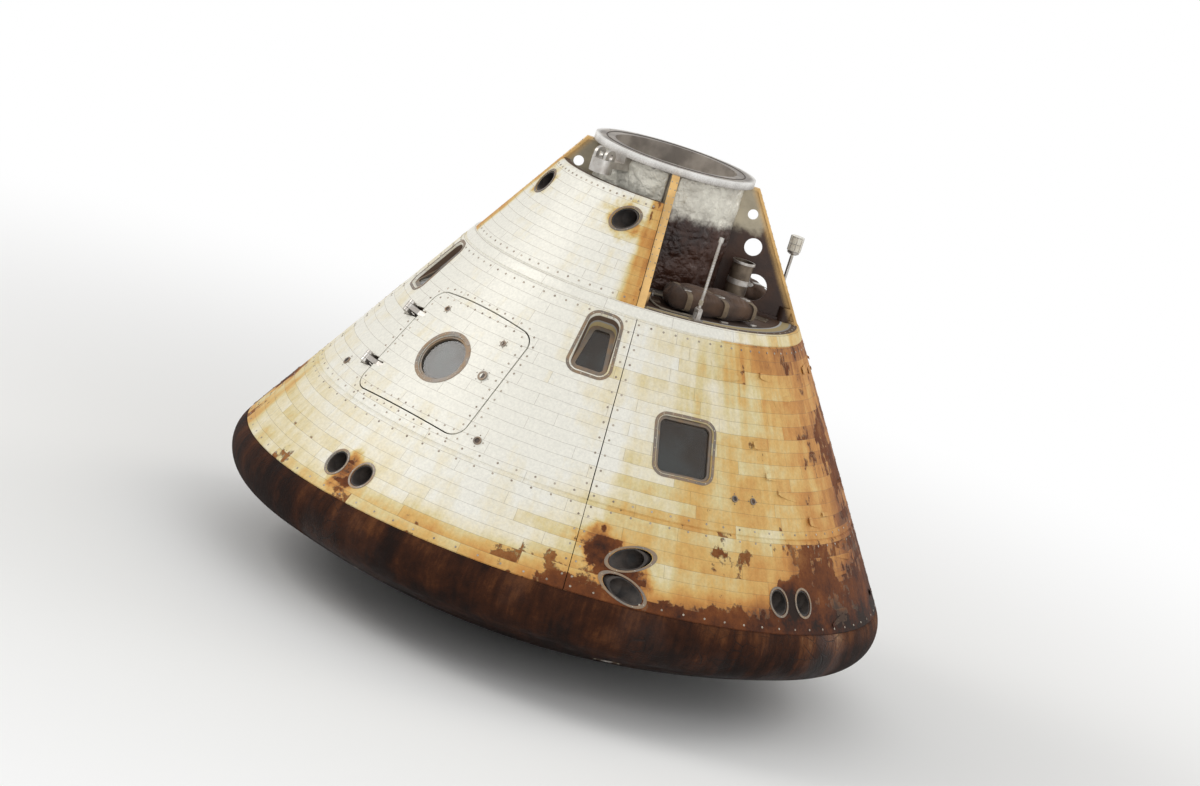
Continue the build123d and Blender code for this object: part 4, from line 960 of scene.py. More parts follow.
# Its dark colour below the top is painted shade of the bay.
BLANKET = CrinkledBlanket("Tunnel blanket", Slot.DECK)
HARNESS = Cloth("Harness sleeve", Slot.DECK, (0.42, 0.36, 0.26), (0.12, 0.085, 0.06), 330.0, 0.8)
BELL = SootedBell("Sooted bell liner", Slot.BELL)
BLACK_PLATE = Painted("Black plate", Slot.PLATE, (0.034, 0.029, 0.026), (0.15, 0.075, 0.035), 0.7, size=12.0)
WINDOW_METAL = Painted(
    "Window frame", Slot.FRAME, (0.17, 0.15, 0.13), (0.33, 0.21, 0.11), 0.7, 0.5, 0.45, 14.0
)
PANE = WindowGlass("Window glass", Slot.GLASS)
LENS = Painted("Lens coating", Slot.GLASS, (0.035, 0.045, 0.075), (0.09, 0.06, 0.05), 0.4, 0.3, 0.08)
GASKET = Painted("Gasket", Slot.FRAME, (0.05, 0.046, 0.042), (0.13, 0.09, 0.06), 0.6, 0.0, 0.7, 20.0)
# Bag cloth darkened from its own tan as painted shade of the bays.
SHADED_BAG_CLOTH = Cloth("Bag cloth", Slot.BAG, (0.115, 0.060, 0.032), (0.030, 0.018, 0.013), 170.0, 0.85, 0.08)
WEBBING = Cloth("Webbing", Slot.BAG, (0.30, 0.22, 0.13), (0.09, 0.052, 0.03), 420.0, 0.75, 0.1)
COUCH_CLOTH = Cloth("Couch cloth", Slot.COUCH, (0.46, 0.42, 0.34), (0.25, 0.21, 0.16), 220.0)
HARNESS_WEB = Cloth("Couch webbing", Slot.COUCH, (0.15, 0.17, 0.15), (0.07, 0.07, 0.06), 420.0, 0.4)
GREY_PAINT = Painted(
    "Cabinet paint", Slot.CABINET, (0.36, 0.385, 0.375), (0.22, 0.22, 0.205), 0.35, 0.0, 0.48, 10.0
)
DIAL_BLACK = Painted("Dial black", Slot.CABINET, (0.03, 0.03, 0.032), (0.06, 0.06, 0.06), 0.3, 0.0, 0.3, 20.0)
DIAL_WHITE = Painted("Switch caps", Slot.CABINET, (0.70, 0.69, 0.64), (0.45, 0.43, 0.38), 0.4, 0.0, 0.4, 30.0)
LAMP_COVER = Painted("Lamp cover", Slot.LAMP, (0.80, 0.76, 0.66), (0.60, 0.50, 0.36), 0.4, 0.0, 0.22, 20.0)


# Shapes


def circle(centre: Vector, axis: Vector, radius: float, count: int, start: float = 0.0) -> list[Vector]:
    """Evenly spaced points round an axis.

    Args:
        centre: middle of the circle.
        axis: direction that it turns about.
        radius: its radius.
        count: number of points.
        start: turn of the first point, in degrees.

    Returns:
        The points.
    """
    along = axis.normalized()
    first = (UP if abs(along.z) < 0.9 else RIGHT).cross(along).normalized()
    second = along.cross(first)
    turns = (radians(start) + 2 * pi * i / count for i in range(count))
    return [centre + (first * cos(turn) + second * sin(turn)) * radius for turn in turns]


def rounded_outline(sizes: Sequence[float], grow: float = 0.0, steps: int = 8) -> Outline:
    """Outline of a tapered plate with round corners, anticlockwise.

    Args:
        sizes: half its width at the foot and at the head, half its height, its corners' radius.
        grow: what is added to each size.
        steps: points on each corner, and on each side between two of them.

    Returns:
        The outline's (u, v) points.
    """
    low, high, tall, corner = (size + grow for size in sizes)
    arcs = []
    for side, end, half, start in ((1, -1, low, -90), (1, 1, high, 0), (-1, 1, high, 90), (-1, -1, low, 180)):
        u, v = side * (half - corner), end * (tall - corner)
        turns = [radians(start + 90 * i / steps) for i in range(steps + 1)]
        arcs.append([(u + corner * cos(t), v + corner * sin(t)) for t in turns])
    outline = []
    for arc, after in zip(arcs, arcs[1:] + arcs[:1]):
        (u, v), (to_u, to_v) = arc[-1], after[0]
        shares = [i / steps for i in range(1, steps)]
        outline += arc + [(u + (to_u - u) * share, v + (to_v - v) * share) for share in shares]
    return outline


def circle_outline(radius: float, count: int = 48, u: float = 0.0, v: float = 0.0) -> Outline:
    """Outline of a round plate about a place, anticlockwise."""
    turns = (2 * pi * i / count for i in range(count))
    return [(u + radius * cos(turn), v + radius * sin(turn)) for turn in turns]


def spaced(outline: Outline, pitch: float) -> Outline:
    """Points at an even pitch along a closed outline.

    Args:
        outline: the outline.
        pitch: the wanted distance between two points.

    Returns:
        The points.
    """
    loop = outline + outline[:1]
    lengths = [dist(a, b) for a, b in zip(loop, loop[1:])]
    count = max(3, round(sum(lengths) / pitch))
    step = sum(lengths) / count
    found, walked, wanted = [], 0.0, step / 2
    for a, b, length in zip(loop, loop[1:], lengths):
        while length > 0 and wanted <= walked + length and len(found) < count:
            share = (wanted - walked) / length
            found.append((a[0] + (b[0] - a[0]) * share, a[1] + (b[1] - a[1]) * share))
            wanted += step
        walked += length
    return found


def curve_through(points: Path, steps: int = 7) -> list[Vector]:
    """Smooth path through points.

    Args:
        points: the points.
        steps: how many parts each stretch is divided into.

    Returns:
        The path's points.
    """
    line = [points[0], *points, points[-1]]
    path = []
    for a, b, c, d in zip(line, line[1:], line[2:], line[3:]):
        for t in (i / steps for i in range(steps)):
            bend = (2 * a - 5 * b + 4 * c - d) * t**2 + (3 * b - 3 * c + d - a) * t**3
            path.append(0.5 * (2 * b + (c - a) * t + bend))
    return path + [points[-1]]


def bulged(share: float, power: float) -> float:
    """A sine or cosine drawn out towards a square's."""
    return copysign(abs(share) ** power, share)


class Form:
    """Vertices and faces that are gathered before they become one piece."""

    def __init__(self) -> None:
        """Starts empty."""
        self.points: list[Vector] = []
        self.faces: list[tuple[int, ...]] = []

    def rings(self, rings: Sequence[Path], closed: bool = True, capped: bool = False) -> None:
        """Joins rings of equal length into a skin.

        Args:
            rings: the rings, one after another.
            closed: whether each ring meets itself.
            capped: whether the first and last ring are filled.
        """
        size, start = len(rings[0]), len(self.points)
        for ring in rings:
            self.points.extend(ring)
        for row in range(len(rings) - 1):
            here = start + row * size
            for i in range(size if closed else size - 1):
                after = (i + 1) % size
                self.faces.append((here + i, here + after, here + size + after, here + size + i))
        if capped:
            last = start + (len(rings) - 1) * size
            self.faces.append(tuple(start + i for i in reversed(range(size))))
            self.faces.append(tuple(last + i for i in range(size)))

    def turned(self, centre: Vector, axis: Vector, profile: Profile, sides: int = 16) -> None:
        """A form turned about an axis.

        Args:
            centre: where its heights are counted from.
            axis: the direction that it is turned about.
            profile: its radius and height, from foot to head.
            sides: how many sides it has.
        """
        up = axis.normalized()
        rings = [circle(centre + up * height, axis, radius, sides) for radius, height in profile]
        self.rings(rings, capped=True)

    def screws(self, places: Iterable[Vector], normal: Vector, screw: Screw, sides: int = 8) -> None:
        """Domed screw heads on a surface.

        Args:
            places: where they stand.
            normal: the direction out of the surface.
            screw: their radius and height.
            sides: how many sides they have.
        """
        radius, height = screw
        profile = ((radius, -0.2 * height), (radius, 0.6 * height), (radius * 0.72, height))
        for place in places:
            self.turned(place, normal, profile, sides)

    def tube(self, path: Path, radius: float, sides: int = 10, closed: bool = False) -> None:
        """A round tube along a path.

        Args:
            path: points along its middle.
            radius: its radius.
            sides: how many sides it has.
            closed: whether its ends meet, instead of being filled.
        """
        rings, count = [], len(path)
        for i, point in enumerate(path):
            before = path[(i - 1) % count] if closed or i > 0 else point
            after = path[(i + 1) % count] if closed or i < count - 1 else point
            rings.append(circle(point, after - before, radius, sides))
        self.rings(rings + rings[:1] if closed else rings, capped=not closed)

    def block(self, centre: Vector, axes: Path, size: Sequence[float]) -> None:
        """A box on three directions.

        Args:
            centre: its middle.
            axes: the three directions.
            size: its length along each.
        """
        half = [axis.normalized() * length / 2 for axis, length in zip(axes, size)]
        signs = [(a, b, c) for c in (-1, 1) for b in (-1, 1) for a in (-1, 1)]
        start = len(self.points)
        self.points += [centre + half[0] * a + half[1] * b + half[2] * c for a, b, c in signs]
        for face in ((0, 2, 3, 1), (4, 5, 7, 6), (0, 1, 5, 4), (2, 6, 7, 3), (0, 4, 6, 2), (1, 3, 7, 5)):
            self.faces.append(tuple(start + i for i in face))

    def ribbon(self, path: Path, across: Vector, widths: Sequence[float], thickness: float) -> None:
        """A flat band along a path.

        Args:
            path: points along its middle.
            across: its width direction.
            widths: its width at each point.
            thickness: how thick it is.
        """
        rings = []
        for i, (point, width) in enumerate(zip(path, widths)):
            along = path[min(i + 1, len(path) - 1)] - path[max(i - 1, 0)]
            half = across.normalized() * width / 2
            lift = across.cross(along).normalized() * thickness / 2
            rings.append([point - half - lift, point + half - lift, point + half + lift, point - half + lift])
        self.rings(rings, capped=True)

    def washer(self, centre: Vector, axis: Vector, inner: float, outer: float, height: float) -> None:
        """A flat ring that stands on a surface.

        Args:
            centre: its middle on the surface.
            axis: the direction out of the surface.
            inner: its inner radius.
            outer: its outer radius.
            height: how far it stands out.
        """
        low, up = -0.2 * height, axis.normalized()
        profile = ((inner, low), (inner, height), (outer, height), (outer, low), (inner, low))
        self.rings([circle(centre + up * level, axis, radius, 40) for radius, level in profile])

    def collar(self, inner: Path, outer: Path, lift: Path) -> None:
        """A raised closed band between two outlines, standing off them by a vector at each point."""
        raised = [[point + up for point, up in zip(outline, lift)] for outline in (inner, outer)]
        self.rings([inner, *raised, outer, inner])

    def band(self, patch: SkinPatch, inner: Outline, outer: Outline, rise: float) -> None:
        """A raised band on the skin between two outlines."""
        low, high = (patch.trace(outline, -0.001) for outline in (inner, outer))
        self.collar(low, high, [patch.normal * rise] * len(inner))

    def piece(
        self, name: str, finish: Finish, body: Body = Body.HULL, bevel: float = 0.0, smooth: float = 40.0
    ) -> Object:
        """Makes the piece, dresses it and hands it to a body.

        Args:
            name: the piece's name.
            finish: its finish.
            body: what it moves with.
            bevel: rounding of its edges.
            smooth: edges sharper than this many degrees stay sharp.

        Returns:
            The new object.
        """
        mesh = bpy.data.meshes.new(name)
        mesh.from_pydata([tuple(point) for point in self.points], [], self.faces)
        mesh.validate()
        made = placed(mesh, name, body)
        mesh.materials.append(finish.material())
        mesh.shade_smooth()
        mesh.set_sharp_from_angle(angle=radians(smooth))
        if bevel:
            rounding = made.modifiers.new("Rounding", "BEVEL")
            rounding.width = bevel
            rounding.segments = 2
            rounding.limit_method = "ANGLE"
            rounding.angle_limit = radians(35)
        LOG.info("%s: %d faces", name, len(mesh.polygons))
        return made


def placed(mesh: Mesh, name: str, body: Body = Body.HULL) -> Object:
    """Makes an object of a mesh, which rides on a body.

    Args:
        mesh: the mesh.
        name: the object's name.
        body: what it moves with.

    Returns:
        The object.
    """
    made = bpy.data.objects.new(name, mesh)
    bpy.context.collection.objects.link(made)
    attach(made, body.value)
    return made


@dataclass(frozen=True)
class Padding:
    """How a soft piece is blown up by a cloth simulation."""

    voxel: float = 0.01
    pressure: float = 4.0
    frames: int = 20
    quick_rise: float = 0.01

    def swell(self, piece: Object, cap: Callable[[Vector], float]) -> None:
        """Remeshes a piece, blows it up and subdivides it.

        Args:
            piece: a closed form a little smaller than it should end up.
            cap: the furthest that a point at a place may move.
        """
        remesh = piece.modifiers.new("Even mesh", "REMESH")
        remesh.mode = "VOXEL"
        remesh.voxel_size = self.voxel
        self.settle(piece)
        start = [vertex.co.copy() for vertex in piece.data.vertices]
        for vertex, first, last in zip(piece.data.vertices, start, self.blown(piece)):
            move = last - first
            vertex.co = first + move * min(1.0, cap(first) / max(move.length, 1e-6))
        piece.modifiers.new("Smooth cloth", "SUBSURF").levels = 1
        self.settle(piece)
        piece.data.shade_smooth()

    def blown(self, piece: Object, pins: VertexGroup | None = None) -> list[Vector]:
        """Runs the simulation.

        Args:
            piece: the piece to blow up.
            pins: the vertices that are held, or none.

        Returns:
            The vertices' last places.
        """
        cloth = piece.modifiers.new("Swelling", "CLOTH")
        cloth.settings.use_pressure = True
        cloth.settings.uniform_pressure_force = self.pressure
        cloth.settings.effector_weights.gravity = 0.0
        cloth.settings.quality = 6
        if pins is not None:
            cloth.settings.vertex_group_mass = pins.name
            cloth.settings.shrink_min = -0.04
        cloth.point_cache.frame_end = self.frames
        for step in range(1, self.frames + 1):
            bpy.context.scene.frame_set(step)
        held = piece.evaluated_get(bpy.context.evaluated_depsgraph_get())
        last = [vertex.co.copy() for vertex in held.data.vertices]
        piece.modifiers.remove(cloth)
        bpy.context.scene.frame_set(1)
        return last

    def settle(self, piece: Object) -> None:
        """Makes a piece's modifiers part of its mesh.

        Args:
            piece: the piece.
        """
        held = piece.evaluated_get(bpy.context.evaluated_depsgraph_get())
        mesh = bpy.data.meshes.new_from_object(held)
        piece.modifiers.clear()
        piece.data = mesh


# Sub-assemblies


class Assembly:
    """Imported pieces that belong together, with their finishes and what is added to them."""

    dressed: dict[Finish, str] = {}

    def build(self) -> None:
        """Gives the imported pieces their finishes, then adds the detail."""
        for finish, nodes in self.dressed.items():
            for node in nodes.split():
                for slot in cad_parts[node].material_slots:
                    slot.material = finish.material()
        self.detail()

    def detail(self) -> None:
        """Adds what the solids don't have."""
        raise NotImplementedError


@dataclass
class AftHeatShield(Assembly):
    """The dished heat shield with its pads."""

    dressed = {DISH: "aft_heat_shield", PAD_PLUG: "shear_pads"}
    pad_circle: float = 1.5
    pad_sink: float = 0.004
    sleeve: Size = (0.023, 0.033, 0.005)
    bolt_circle: float = 0.066
    bolt: Screw = (0.008, 0.004)

    def detail(self) -> None:
        """Adds the tie-bolt sleeves and the pads' bolts."""
        sleeves, bolts = Form(), Form()
        slope = asin(self.pad_circle / SKIN.dish_radius)
        level = SKIN.dish_radius * (1 - cos(slope)) + self.pad_sink
        for out in (outward(azimuth) for azimuth in range(0, 360, 60)):
            normal = out * sin(slope) - UP * cos(slope)
            centre = out * self.pad_circle + UP * level
            sleeves.washer(centre, normal, *self.sleeve)
            bolts.screws(circle(centre, normal, self.bolt_circle, 4, 45.0), normal, self.bolt, 6)
        sleeves.piece("tie_bolt_sleeves", STEEL, bevel=0.001)
        bolts.piece("pad_bolts", BOLT_STEEL)


@dataclass(frozen=True)
class RoundFitting:
    """A round fitting on the skin: a rim, a sunk middle and a ring of screws."""

    bore: float
    rim: float
    middle: Pair
    floor: float
    sides: int
    spread: float
    count: int
    screw: Screw

    def build(self, rims: Form, wells: Form, patch: SkinPatch, radius: float, *place: float) -> None:
        """Adds one fitting.

        Args:
            rims: gathers the rim and its screws.
            wells: gathers the sunk middle.
            patch: the frame on the skin.
            radius: the rim's outer radius.
            place: its (u, v) place in the frame.
        """
        centre, normal = patch.draped(*place), patch.normal
        foot, head = self.middle
        rims.washer(centre, normal, radius * self.bore, radius, self.rim)
        wells.turned(centre, normal, ((radius * foot, -0.002), (radius * head, self.floor)), self.sides)
        rims.screws(patch.trace(circle_outline(radius * self.spread, self.count, *place)), normal, self.screw)


VENT = RoundFitting(0.62, 0.006, (0.66, 0.60), 0.002, 20, 1.5, 4, (0.004, 0.002))
SOCKET = RoundFitting(0.60, 0.005, (0.64, 0.58), 0.001, 6, 1.35, 6, (0.0035, 0.0018))


@dataclass
class ConeSkin(Assembly):
    """The lower band, the cabin walls, the forward ring and the engine panel."""

    dressed = {
        LOWER_FOIL: "lower_panel_hatch_side lower_panel_right lower_panel_rear lower_panel_left",
        UPPER_FOIL: "cabin_wall_hatch_side cabin_wall_right cabin_wall_rear cabin_wall_left",
        RING_FOIL: "forward_ring",
        NOSE_FOIL: "engine_panel",
    }
    screw: Screw = (0.0065, 0.0020)
    pitch: float = 4.0
    edge: float = 0.028
    flaps: int = 70
    flap_seed: int = 12
    flap_steps: int = 12
    flap_length: Pair = (0.07, 0.20)
    flap_width: Pair = (0.02, 0.06)
    flap_curl: Pair = (10.0, 45.0)
    flap_thickness: float = 0.0009
    keep_clear: Rows = (
        (64.0, 1.50, 0.36), (36.0, 1.86, 0.32), (180.0, 1.57, 0.45),
        (180.0, 0.87, 0.40), (90.0, 0.83, 0.26), (55.0, 0.83, 0.30),
    )
    vent_places: Rows = (
        (20.0, 1.22, 0.024), (77.0, 1.30, 0.020), (82.0, 1.30, 0.020),
        (-26.0, 1.25, 0.024), (-80.0, 1.36, 0.030),
    )

    def detail(self) -> None:
        """Fastens the skins, lets burnt tape peel off and adds the vents."""
        self.seam_screws()
        self.peeled_tape()
        rims, throats = Form(), Form()
        for azimuth, height, radius in self.vent_places:
            VENT.build(rims, throats, SkinPatch(azimuth, height), radius, 0.0, 0.0)
        rims.piece("vent_rims", WINDOW_METAL, bevel=0.001)
        throats.piece("vent_throats", BLACK_PLATE)

    def seam_screws(self) -> None:
        """Rows of screws along the joins."""
        edge, form, places = self.edge, Form(), []
        rows = [(LEVEL.parting + edge, 180.0), (LEVEL.girth - edge, 180.0), (LEVEL.girth + edge, 180.0)]
        rows += [(LEVEL.wall_top - edge, 180.0), (LEVEL.deck + edge, 41.0), (LEVEL.panel_top - edge, 40.0)]
        for height, reach in rows:
            count = int(2 * reach / self.pitch)
            places += [(((2 * i + 1) / count - 1) * reach, height) for i in range(count)]
        for low, high, count in ((LEVEL.parting, LEVEL.girth, 6), (LEVEL.girth, LEVEL.wall_top, 12)):
            for height in (low + (high - low) * i / count for i in range(1, count)):
                apart = degrees(edge / SKIN.radius(height))
                places += [(corner + turn, height) for corner in CORNERS for turn in (-apart, apart)]
        for azimuth, height in places:
            form.screws([SKIN.point(azimuth, height)], SKIN.normal(azimuth), self.screw)
        form.piece("skin_screws", BOLT_STEEL)

    def peeled_tape(self) -> None:
        """Strips of tape that lift off the hot side of the cone, clear of its openings."""
        chance, form, made = random.Random(self.flap_seed), Form(), 0
        while made < self.flaps:
            azimuth = 180 + 135 * chance.uniform(-1, 1) * chance.uniform(0.3, 1)
            height = chance.uniform(LEVEL.parting + 0.05, LEVEL.wall_top - 0.05)
            turn = abs((azimuth + 180) % 360 - 180)
            if all(
                hypot(radians(turn - place) * SKIN.radius(height), height - level) >= reach
                for place, level, reach in self.keep_clear
            ):
                self.flap(form, SkinPatch(azimuth, height), chance)
                made += 1
        form.piece("peeled_tape", UPPER_FOIL, smooth=60)

    def flap(self, form: Form, patch: SkinPatch, chance: random.Random) -> None:
        """One strip that lifts off along its length.

        Args:
            form: gathers the strips.
            patch: where it holds on.
            chance: the random numbers.
        """
        steps = self.flap_steps
        length, width = chance.uniform(*self.flap_length), chance.uniform(*self.flap_width)
        curl = radians(chance.uniform(*self.flap_curl))
        side, lean = chance.choice((-1, 1)), chance.uniform(-0.25, 0.25)
        along, lift, path = 0.0, 0.001, []
        for i in range(steps + 1):
            angle = curl * (i / steps) ** 2
            path.append(patch.draped(side * along, lean * along, lift))
            along += cos(angle) * length / steps
            lift += sin(angle) * length / steps * 0.5
        across = patch.at(0.0, 1.0) - patch.at(side * lean, 0.0)
        widths = [width * (1 - 0.5 * chance.random() * (i / steps) ** 3) for i in range(steps + 1)]
        form.ribbon(path, across, widths, self.flap_thickness)


@dataclass
class Engines(Assembly):
    """The attitude engines' bells and the collars of their ports."""

    dressed = {BELL: "pitch_engines_lower yaw_engines roll_engines pitch_engines_upper"}
    bell: float = 0.061
    collar: float = 0.013
    lift: float = 0.004
    sides: int = 48
    rivet: Screw = (0.0035, 0.002)
    spread: float = 0.105
    lower_height: float = 0.8299
    roll_lift: float = 0.075
    roll_lean: float = 55.0
    upper_height: float = LEVEL.deck + 0.406
    upper_spread: float = 0.33

    def detail(self) -> None:
        """Rings each bell's port."""
        collars, rivets = Form(), Form()
        for centre, exhaust in self.ports():
            rounds = (circle(centre, exhaust, self.bell + grow, self.sides) for grow in (0.002, self.collar))
            inner, outer = ([SKIN.project(point, exhaust, -0.001) for point in ring] for ring in rounds)
            normals = [SKIN.normal(degrees(atan2(point.x, -point.y))) for point in inner]
            collars.collar(inner, outer, [normal * self.lift for normal in normals])
            for i in range(0, self.sides, 6):
                rivets.screws([(inner[i] + outer[i]) / 2 + normals[i] * self.lift], normals[i], self.rivet)
        collars.piece("engine_port_collars", WINDOW_METAL)
        rivets.piece("engine_port_rivets", BOLT_STEEL)

    def ports(self) -> list[tuple[Vector, Vector]]:
        """Finds the engines' mouths.

        Returns:
            The middle of each and the direction of its exhaust.
        """
        found = []
        flat = sqrt(SKIN.radius(self.lower_height) ** 2 - self.spread**2)
        for azimuth in (0.0, 90.0, -90.0):
            for shift in (around(azimuth) * side * self.spread for side in (-1, 1)):
                found.append((outward(azimuth) * flat + shift + UP * self.lower_height, outward(azimuth)))
        for azimuth in (55.0, -55.0):
            for side in (1, -1):
                level, lean = self.lower_height + side * self.roll_lift, radians(-side * self.roll_lean)
                exhaust = outward(azimuth) * cos(lean) + around(azimuth) * sin(lean)
                found.append((outward(azimuth) * SKIN.radius(level) + UP * level, exhaust))
        flat = sqrt(SKIN.radius(self.upper_height) ** 2 - self.upper_spread**2)
        for side in (-1, 1):
            found.append((Vector((side * self.upper_spread, -flat, self.upper_height)), outward(0.0)))
        return found


@dataclass
class Windows(Assembly):
    """Frames, panes, retaining bands and screws of the side and forward windows."""

    dressed = {
        WINDOW_METAL: "side_window_frames forward_window_frames",
        PANE: "side_window_panes forward_window_panes",
    }
    pairs: tuple[tuple[str, float, float, Row], ...] = (
        ("side", 64.0, 0.370, (0.17, 0.17, 0.17, 0.055)),
        ("forward", 36.0, 0.748, (0.1135, 0.089, 0.182, 0.057)),
    )
    border: Size = (0.003, 0.011, 0.020)
    border_rise: float = 0.003
    screw: Screw = (0.0042, 0.0018)
    screw_pitch: float = 0.055

    def detail(self) -> None:
        """Adds the retaining bands and their screws."""
        for name, azimuth, height, sizes in self.pairs:
            inner, middle, outer = (rounded_outline(sizes, grow) for grow in self.border)
            bands, screws = Form(), Form()
            for patch in (SkinPatch(hand * azimuth, LEVEL.girth + height) for hand in (-1, 1)):
                bands.band(patch, inner, outer, self.border_rise)
                places = patch.trace(spaced(middle, self.screw_pitch), 0.002)
                screws.screws(places, patch.normal, self.screw)
            bands.piece(f"{name}_window_borders", WINDOW_METAL)
            screws.piece(f"{name}_window_screws", BOLT_STEEL)


@dataclass
class SideHatch(Assembly):
    """The side hatch with its window, latches, hinge, screws and drive sockets."""

    dressed = {
        HATCH_FOIL: "hatch_shell",
        BRIGHT_METAL: "hatch_frame",
        WINDOW_METAL: "hatch_window_frame",
        PANE: "hatch_window_pane",
        STEEL: "hatch_latches hatch_straps hinge_lugs",
    }
    patch: SkinPatch = SkinPatch(0.0, LEVEL.girth + 0.394)
    foot: float = 0.432
    head: float = 0.392
    half: float = 0.3605
    corner: float = 0.082
    window: float = 0.15
    ring: Size = (0.001, 0.022, 0.004)
    bolt_inset: float = 0.0115
    bolt: Screw = (0.0045, 0.002)
    bead_inset: float = 0.075
    bead_corner: float = 0.06
    bead_depth: float = -0.1045
    bead_radius: float = 0.004
    screw: Screw = (0.0062, 0.002)
    screw_pitch: float = 0.062
    screw_rows: Pair = (-0.026, 0.036)
    hinges: Pair = (0.19, 0.075)
    sockets: Rows = ((0.30, 0.02, 0.030), (0.27, 0.24, 0.018), (-0.22, 0.27, 0.018))
    grip: Size = (-0.26, 0.12, -0.090)
    grip_reach: float = -0.055
    grip_radius: float = 0.009

    def detail(self) -> None:
        """Adds the hatch's fittings, outside and inside."""
        self.edge_screws("hatch_screws", self.screw_rows[0], Body.SIDE_HATCH)
        self.edge_screws("hatch_frame_screws", self.screw_rows[1], Body.HULL)
        self.window_ring()
        rims, wells = Form(), Form()
        for u, v, radius in self.sockets:
            SOCKET.build(rims, wells, self.patch, radius, u, v)
        rims.piece("hatch_socket_rims", WINDOW_METAL, Body.SIDE_HATCH, bevel=0.0008)
        wells.piece("hatch_socket_wells", BLACK_PLATE, Body.SIDE_HATCH)
        self.inner_face()

    def edge_screws(self, name: str, grow: float, body: Body) -> None:
        """Screws round the hatch's edge, clear of its hinges.

        Args:
            name: the piece's name.
            grow: how far outside the edge they stand.
            body: what they ride on.
        """
        form, (level, reach) = Form(), self.hinges
        outline = rounded_outline((self.foot, self.head, self.half, self.corner), grow)
        places = spaced(outline, self.screw_pitch)
        kept = [(u, v) for u, v in places if u >= -self.head or abs(abs(v) - level) >= reach]
        form.screws(self.patch.trace(kept), self.patch.normal, self.screw)
        form.piece(name, BOLT_STEEL, body)

    def window_ring(self) -> None:
        """A retaining ring round the hatch window, and its bolts."""
        ring, bolts, (inner, outer, rise) = Form(), Form(), self.ring
        edges = (circle_outline(self.window + grow) for grow in (inner, outer))
        ring.band(self.patch, *edges, rise)
        ring.piece("hatch_window_ring", WINDOW_METAL, Body.SIDE_HATCH)
        places = self.patch.trace(circle_outline(self.window + self.bolt_inset, 20), 0.003)
        bolts.screws(places, self.patch.normal, self.bolt)
        bolts.piece("hatch_window_bolts", BOLT_STEEL, Body.SIDE_HATCH)

    def inner_face(self) -> None:
        """Grip and seal bead on the hatch's inner side."""
        bead, grip = Form(), Form()
        sizes = [size - self.bead_inset for size in (self.foot, self.head, self.half)]
        outline = rounded_outline((*sizes, self.bead_corner))
        path = [self.patch.at(u, v, self.bead_depth) for u, v in outline]
        bead.tube(path, self.bead_radius, 8, closed=True)
        bead.piece("hatch_seal_bead", GASKET, Body.SIDE_HATCH)
        u, half, depth = self.grip
        low, high = self.patch.at(u, -half, depth), self.patch.at(u, half, depth)
        deep = self.patch.normal * self.grip_reach
        path = [low, low + deep * 0.8, low.lerp(high, 0.15) + deep]
        path += [high.lerp(low, 0.15) + deep, high + deep * 0.8, high]
        grip.tube(curve_through(path), self.grip_radius, 12)
        grip.piece("hatch_grip", STEEL, Body.SIDE_HATCH)


@dataclass
class RearFittings(Assembly):
    """Optics port and umbilical plate opposite the hatch."""

    dressed = {BLACK_PLATE: "optics_port umbilical_plate"}
    optics: SkinPatch = SkinPatch(180.0, LEVEL.girth + 0.440)
    optics_size: Row = (0.28, 0.28, 0.165, 0.0825)
    umbilical: SkinPatch = SkinPatch(180.0, LEVEL.parting + 0.190)
    umbilical_size: Row = (0.26, 0.26, 0.135, 0.034)
    eyes: Rows = ((-0.14, 0.055), (0.14, 0.075))
    eye_depth: float = -0.052
    lens: Size = (0.72, -0.006, 0.010)
    rim: Size = (0.74, 0.98, 0.010)
    screw_row: Pair = (0.02, 0.06)
    screw: Screw = (0.0055, 0.002)
    seed: int = 5
    connectors: Pair = (0.088, 0.11)
    wires: int = 7
    wire: float = 0.0022
    wire_spread: float = 0.018
    wire_reach: Pair = (0.012, 0.030)

    def detail(self) -> None:
        """Adds lenses, rims and screws, and the umbilical's cut wires."""
        lenses, rims, screws = Form(), Form(), Form()
        for u, radius in self.eyes:
            centre, normal = self.optics.at(u, 0.0, self.eye_depth), self.optics.normal
            slopes, (share, foot, head) = [pi / 2 * k / 8 for k in range(8)], self.lens
            dome = [(radius * share * cos(slope), head * sin(slope)) for slope in slopes]
            lenses.turned(centre, normal, [(radius * share, foot), *dome], 32)
            inner, outer, height = self.rim
            rims.washer(centre, normal, radius * inner, radius * outer, height)
        for patch, sizes in ((self.optics, self.optics_size), (self.umbilical, self.umbilical_size)):
            grow, pitch = self.screw_row
            places = spaced(rounded_outline(sizes, grow), pitch)
            screws.screws(patch.trace(places), patch.normal, self.screw)
        lenses.piece("optics_lenses", LENS, smooth=70)
        rims.piece("optics_rims", SOOTED_METAL, bevel=0.0015)
        screws.piece("rear_plate_screws", BOLT_STEEL)
        self.cut_wires()

    def cut_wires(self) -> None:
        """Short severed wires that stand out of the umbilical's ten connectors."""
        chance, wires = random.Random(self.seed), Form()
        (across, up), spread = self.connectors, self.wire_spread
        for connector in range(10):
            for _ in range(self.wires):
                u = (connector // 2 - 2) * across + chance.uniform(-spread, spread)
                v = (connector % 2 - 0.5) * up + chance.uniform(-spread, spread)
                reach = chance.uniform(*self.wire_reach)
                end = self.umbilical.at(u + chance.uniform(-0.01, 0.01), v - 0.004, reach - 0.035)
                path = [self.umbilical.at(u, v, -0.032), self.umbilical.at(u, v, -0.020), end]
                wires.tube(curve_through(path, 4), self.wire, 6)
        wires.piece("severed_wires", BOLT_STEEL)


